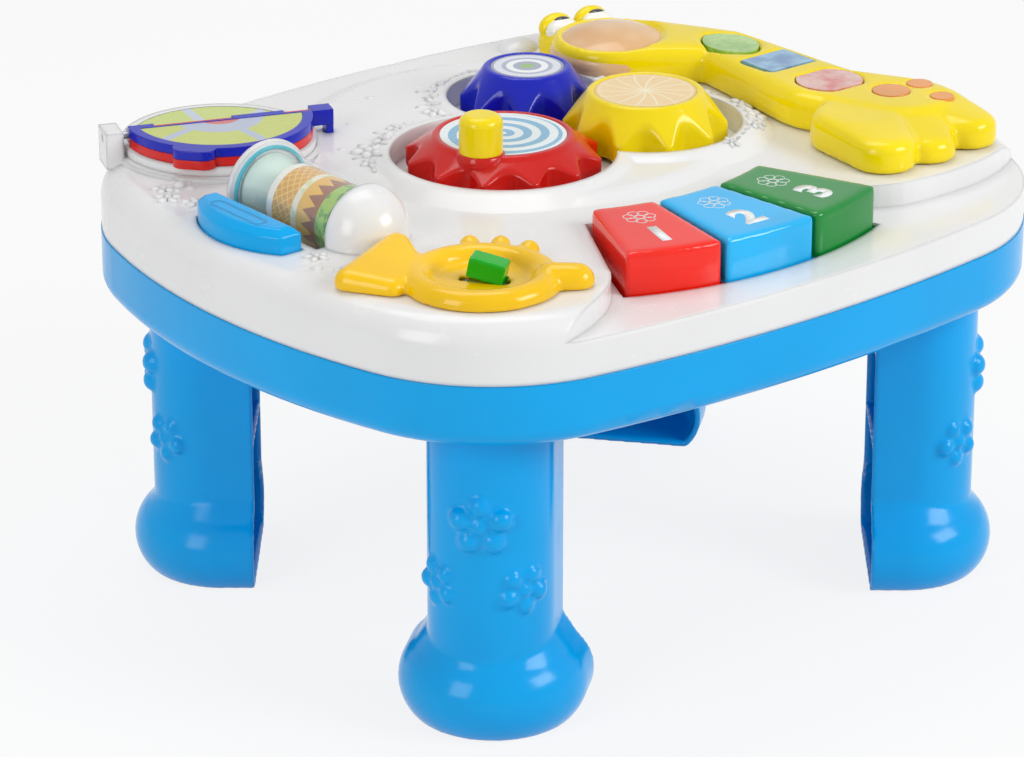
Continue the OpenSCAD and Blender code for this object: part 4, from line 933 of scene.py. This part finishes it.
# %% [markdown]
# ## Studio
# A pale floor that fades to white, one wide lamp over the table from the right,
# a weaker one from the left, one above, and a grey-white sky. The white behind
# the object could come from more light, which would bleach the toy. It is the
# floor's and the sky's own colour to the camera instead, so the whites of the
# toy keep their tone and the floor keeps its shadow.

# %% Floor and sky
FLOOR_RADIUS, FLOOR_GLOW = 9.0, 0.84
SKY_LIGHT = 0.44       # strength of the sky on the object; the camera sees 1


def looked_at(f, mirrored):
    """1 where the camera looks, straight or through glass, and mirrored in a gloss"""
    f.add("ShaderNodeLightPath")
    rays = ("Is Camera Ray", "Is Glossy Ray", "Is Transmission Ray")
    straight, glossy, through = [Wire(f, f.last.outputs[ray]) for ray in rays]
    return straight.most(glossy * mirrored).most(through)

bm = bmesh.new()
bmesh.ops.create_circle(bm, cap_ends=True, segments=96, radius=FLOOR_RADIUS)
floor = linked("floor", as_mesh(bm, "floor"))
f = Finish("floor_paper")
grey = f.mix((0.80, 0.80, 0.80, 1), (0.84, 0.84, 0.84, 1), f.noise(f.place(), size=0.3))
paper = f.add("ShaderNodeBsdfDiffuse", None, {"Color": grey})
glow = f.add("ShaderNodeEmission", None, {"Color": (1, 1, 1, 1), "Strength": 1.0})
share = looked_at(f, 1.0) * FLOOR_GLOW
floor.data.materials.append(f.close(f.add("ShaderNodeMixShader", None, {0: share, 1: paper, 2: glow})))

world = bpy.data.worlds.new("studio")
bpy.context.scene.world = world
f = Finish(world)
strength = SKY_LIGHT + looked_at(f, 0.55) * (1 - SKY_LIGHT)
sky_light = f.add("ShaderNodeBackground", None, {"Color": (1.0, 1.0, 1.0, 1.0), "Strength": strength})
f.close(sky_light, "ShaderNodeOutputWorld")
print("floor and sky ready")

# %% Lamps
def lamp(name, place, aim, size, watts):
    """a soft box at place that looks at aim"""
    data = bpy.data.lights.new(name, "AREA")
    data.shape, data.size, data.size_y, data.energy = "RECTANGLE", size[0], size[1], watts
    away = (Vector(place) - Vector(aim)).to_track_quat("Z", "Y").to_matrix().to_4x4()
    linked(name, data).matrix_world = Matrix.Translation(place) @ away

lamp("key_box", (0.75, -1.45, 1.05), (0, 0, 0.12), (0.9, 0.7), 17)
lamp("top_box", (0.1, 0.5, 1.7), (0, 0, 0.15), (1.2, 0.8), 8)
lamp("fill_box", (-1.5, -0.3, 0.7), (0, 0, 0.12), (0.6, 0.9), 7)
print("studio ready")
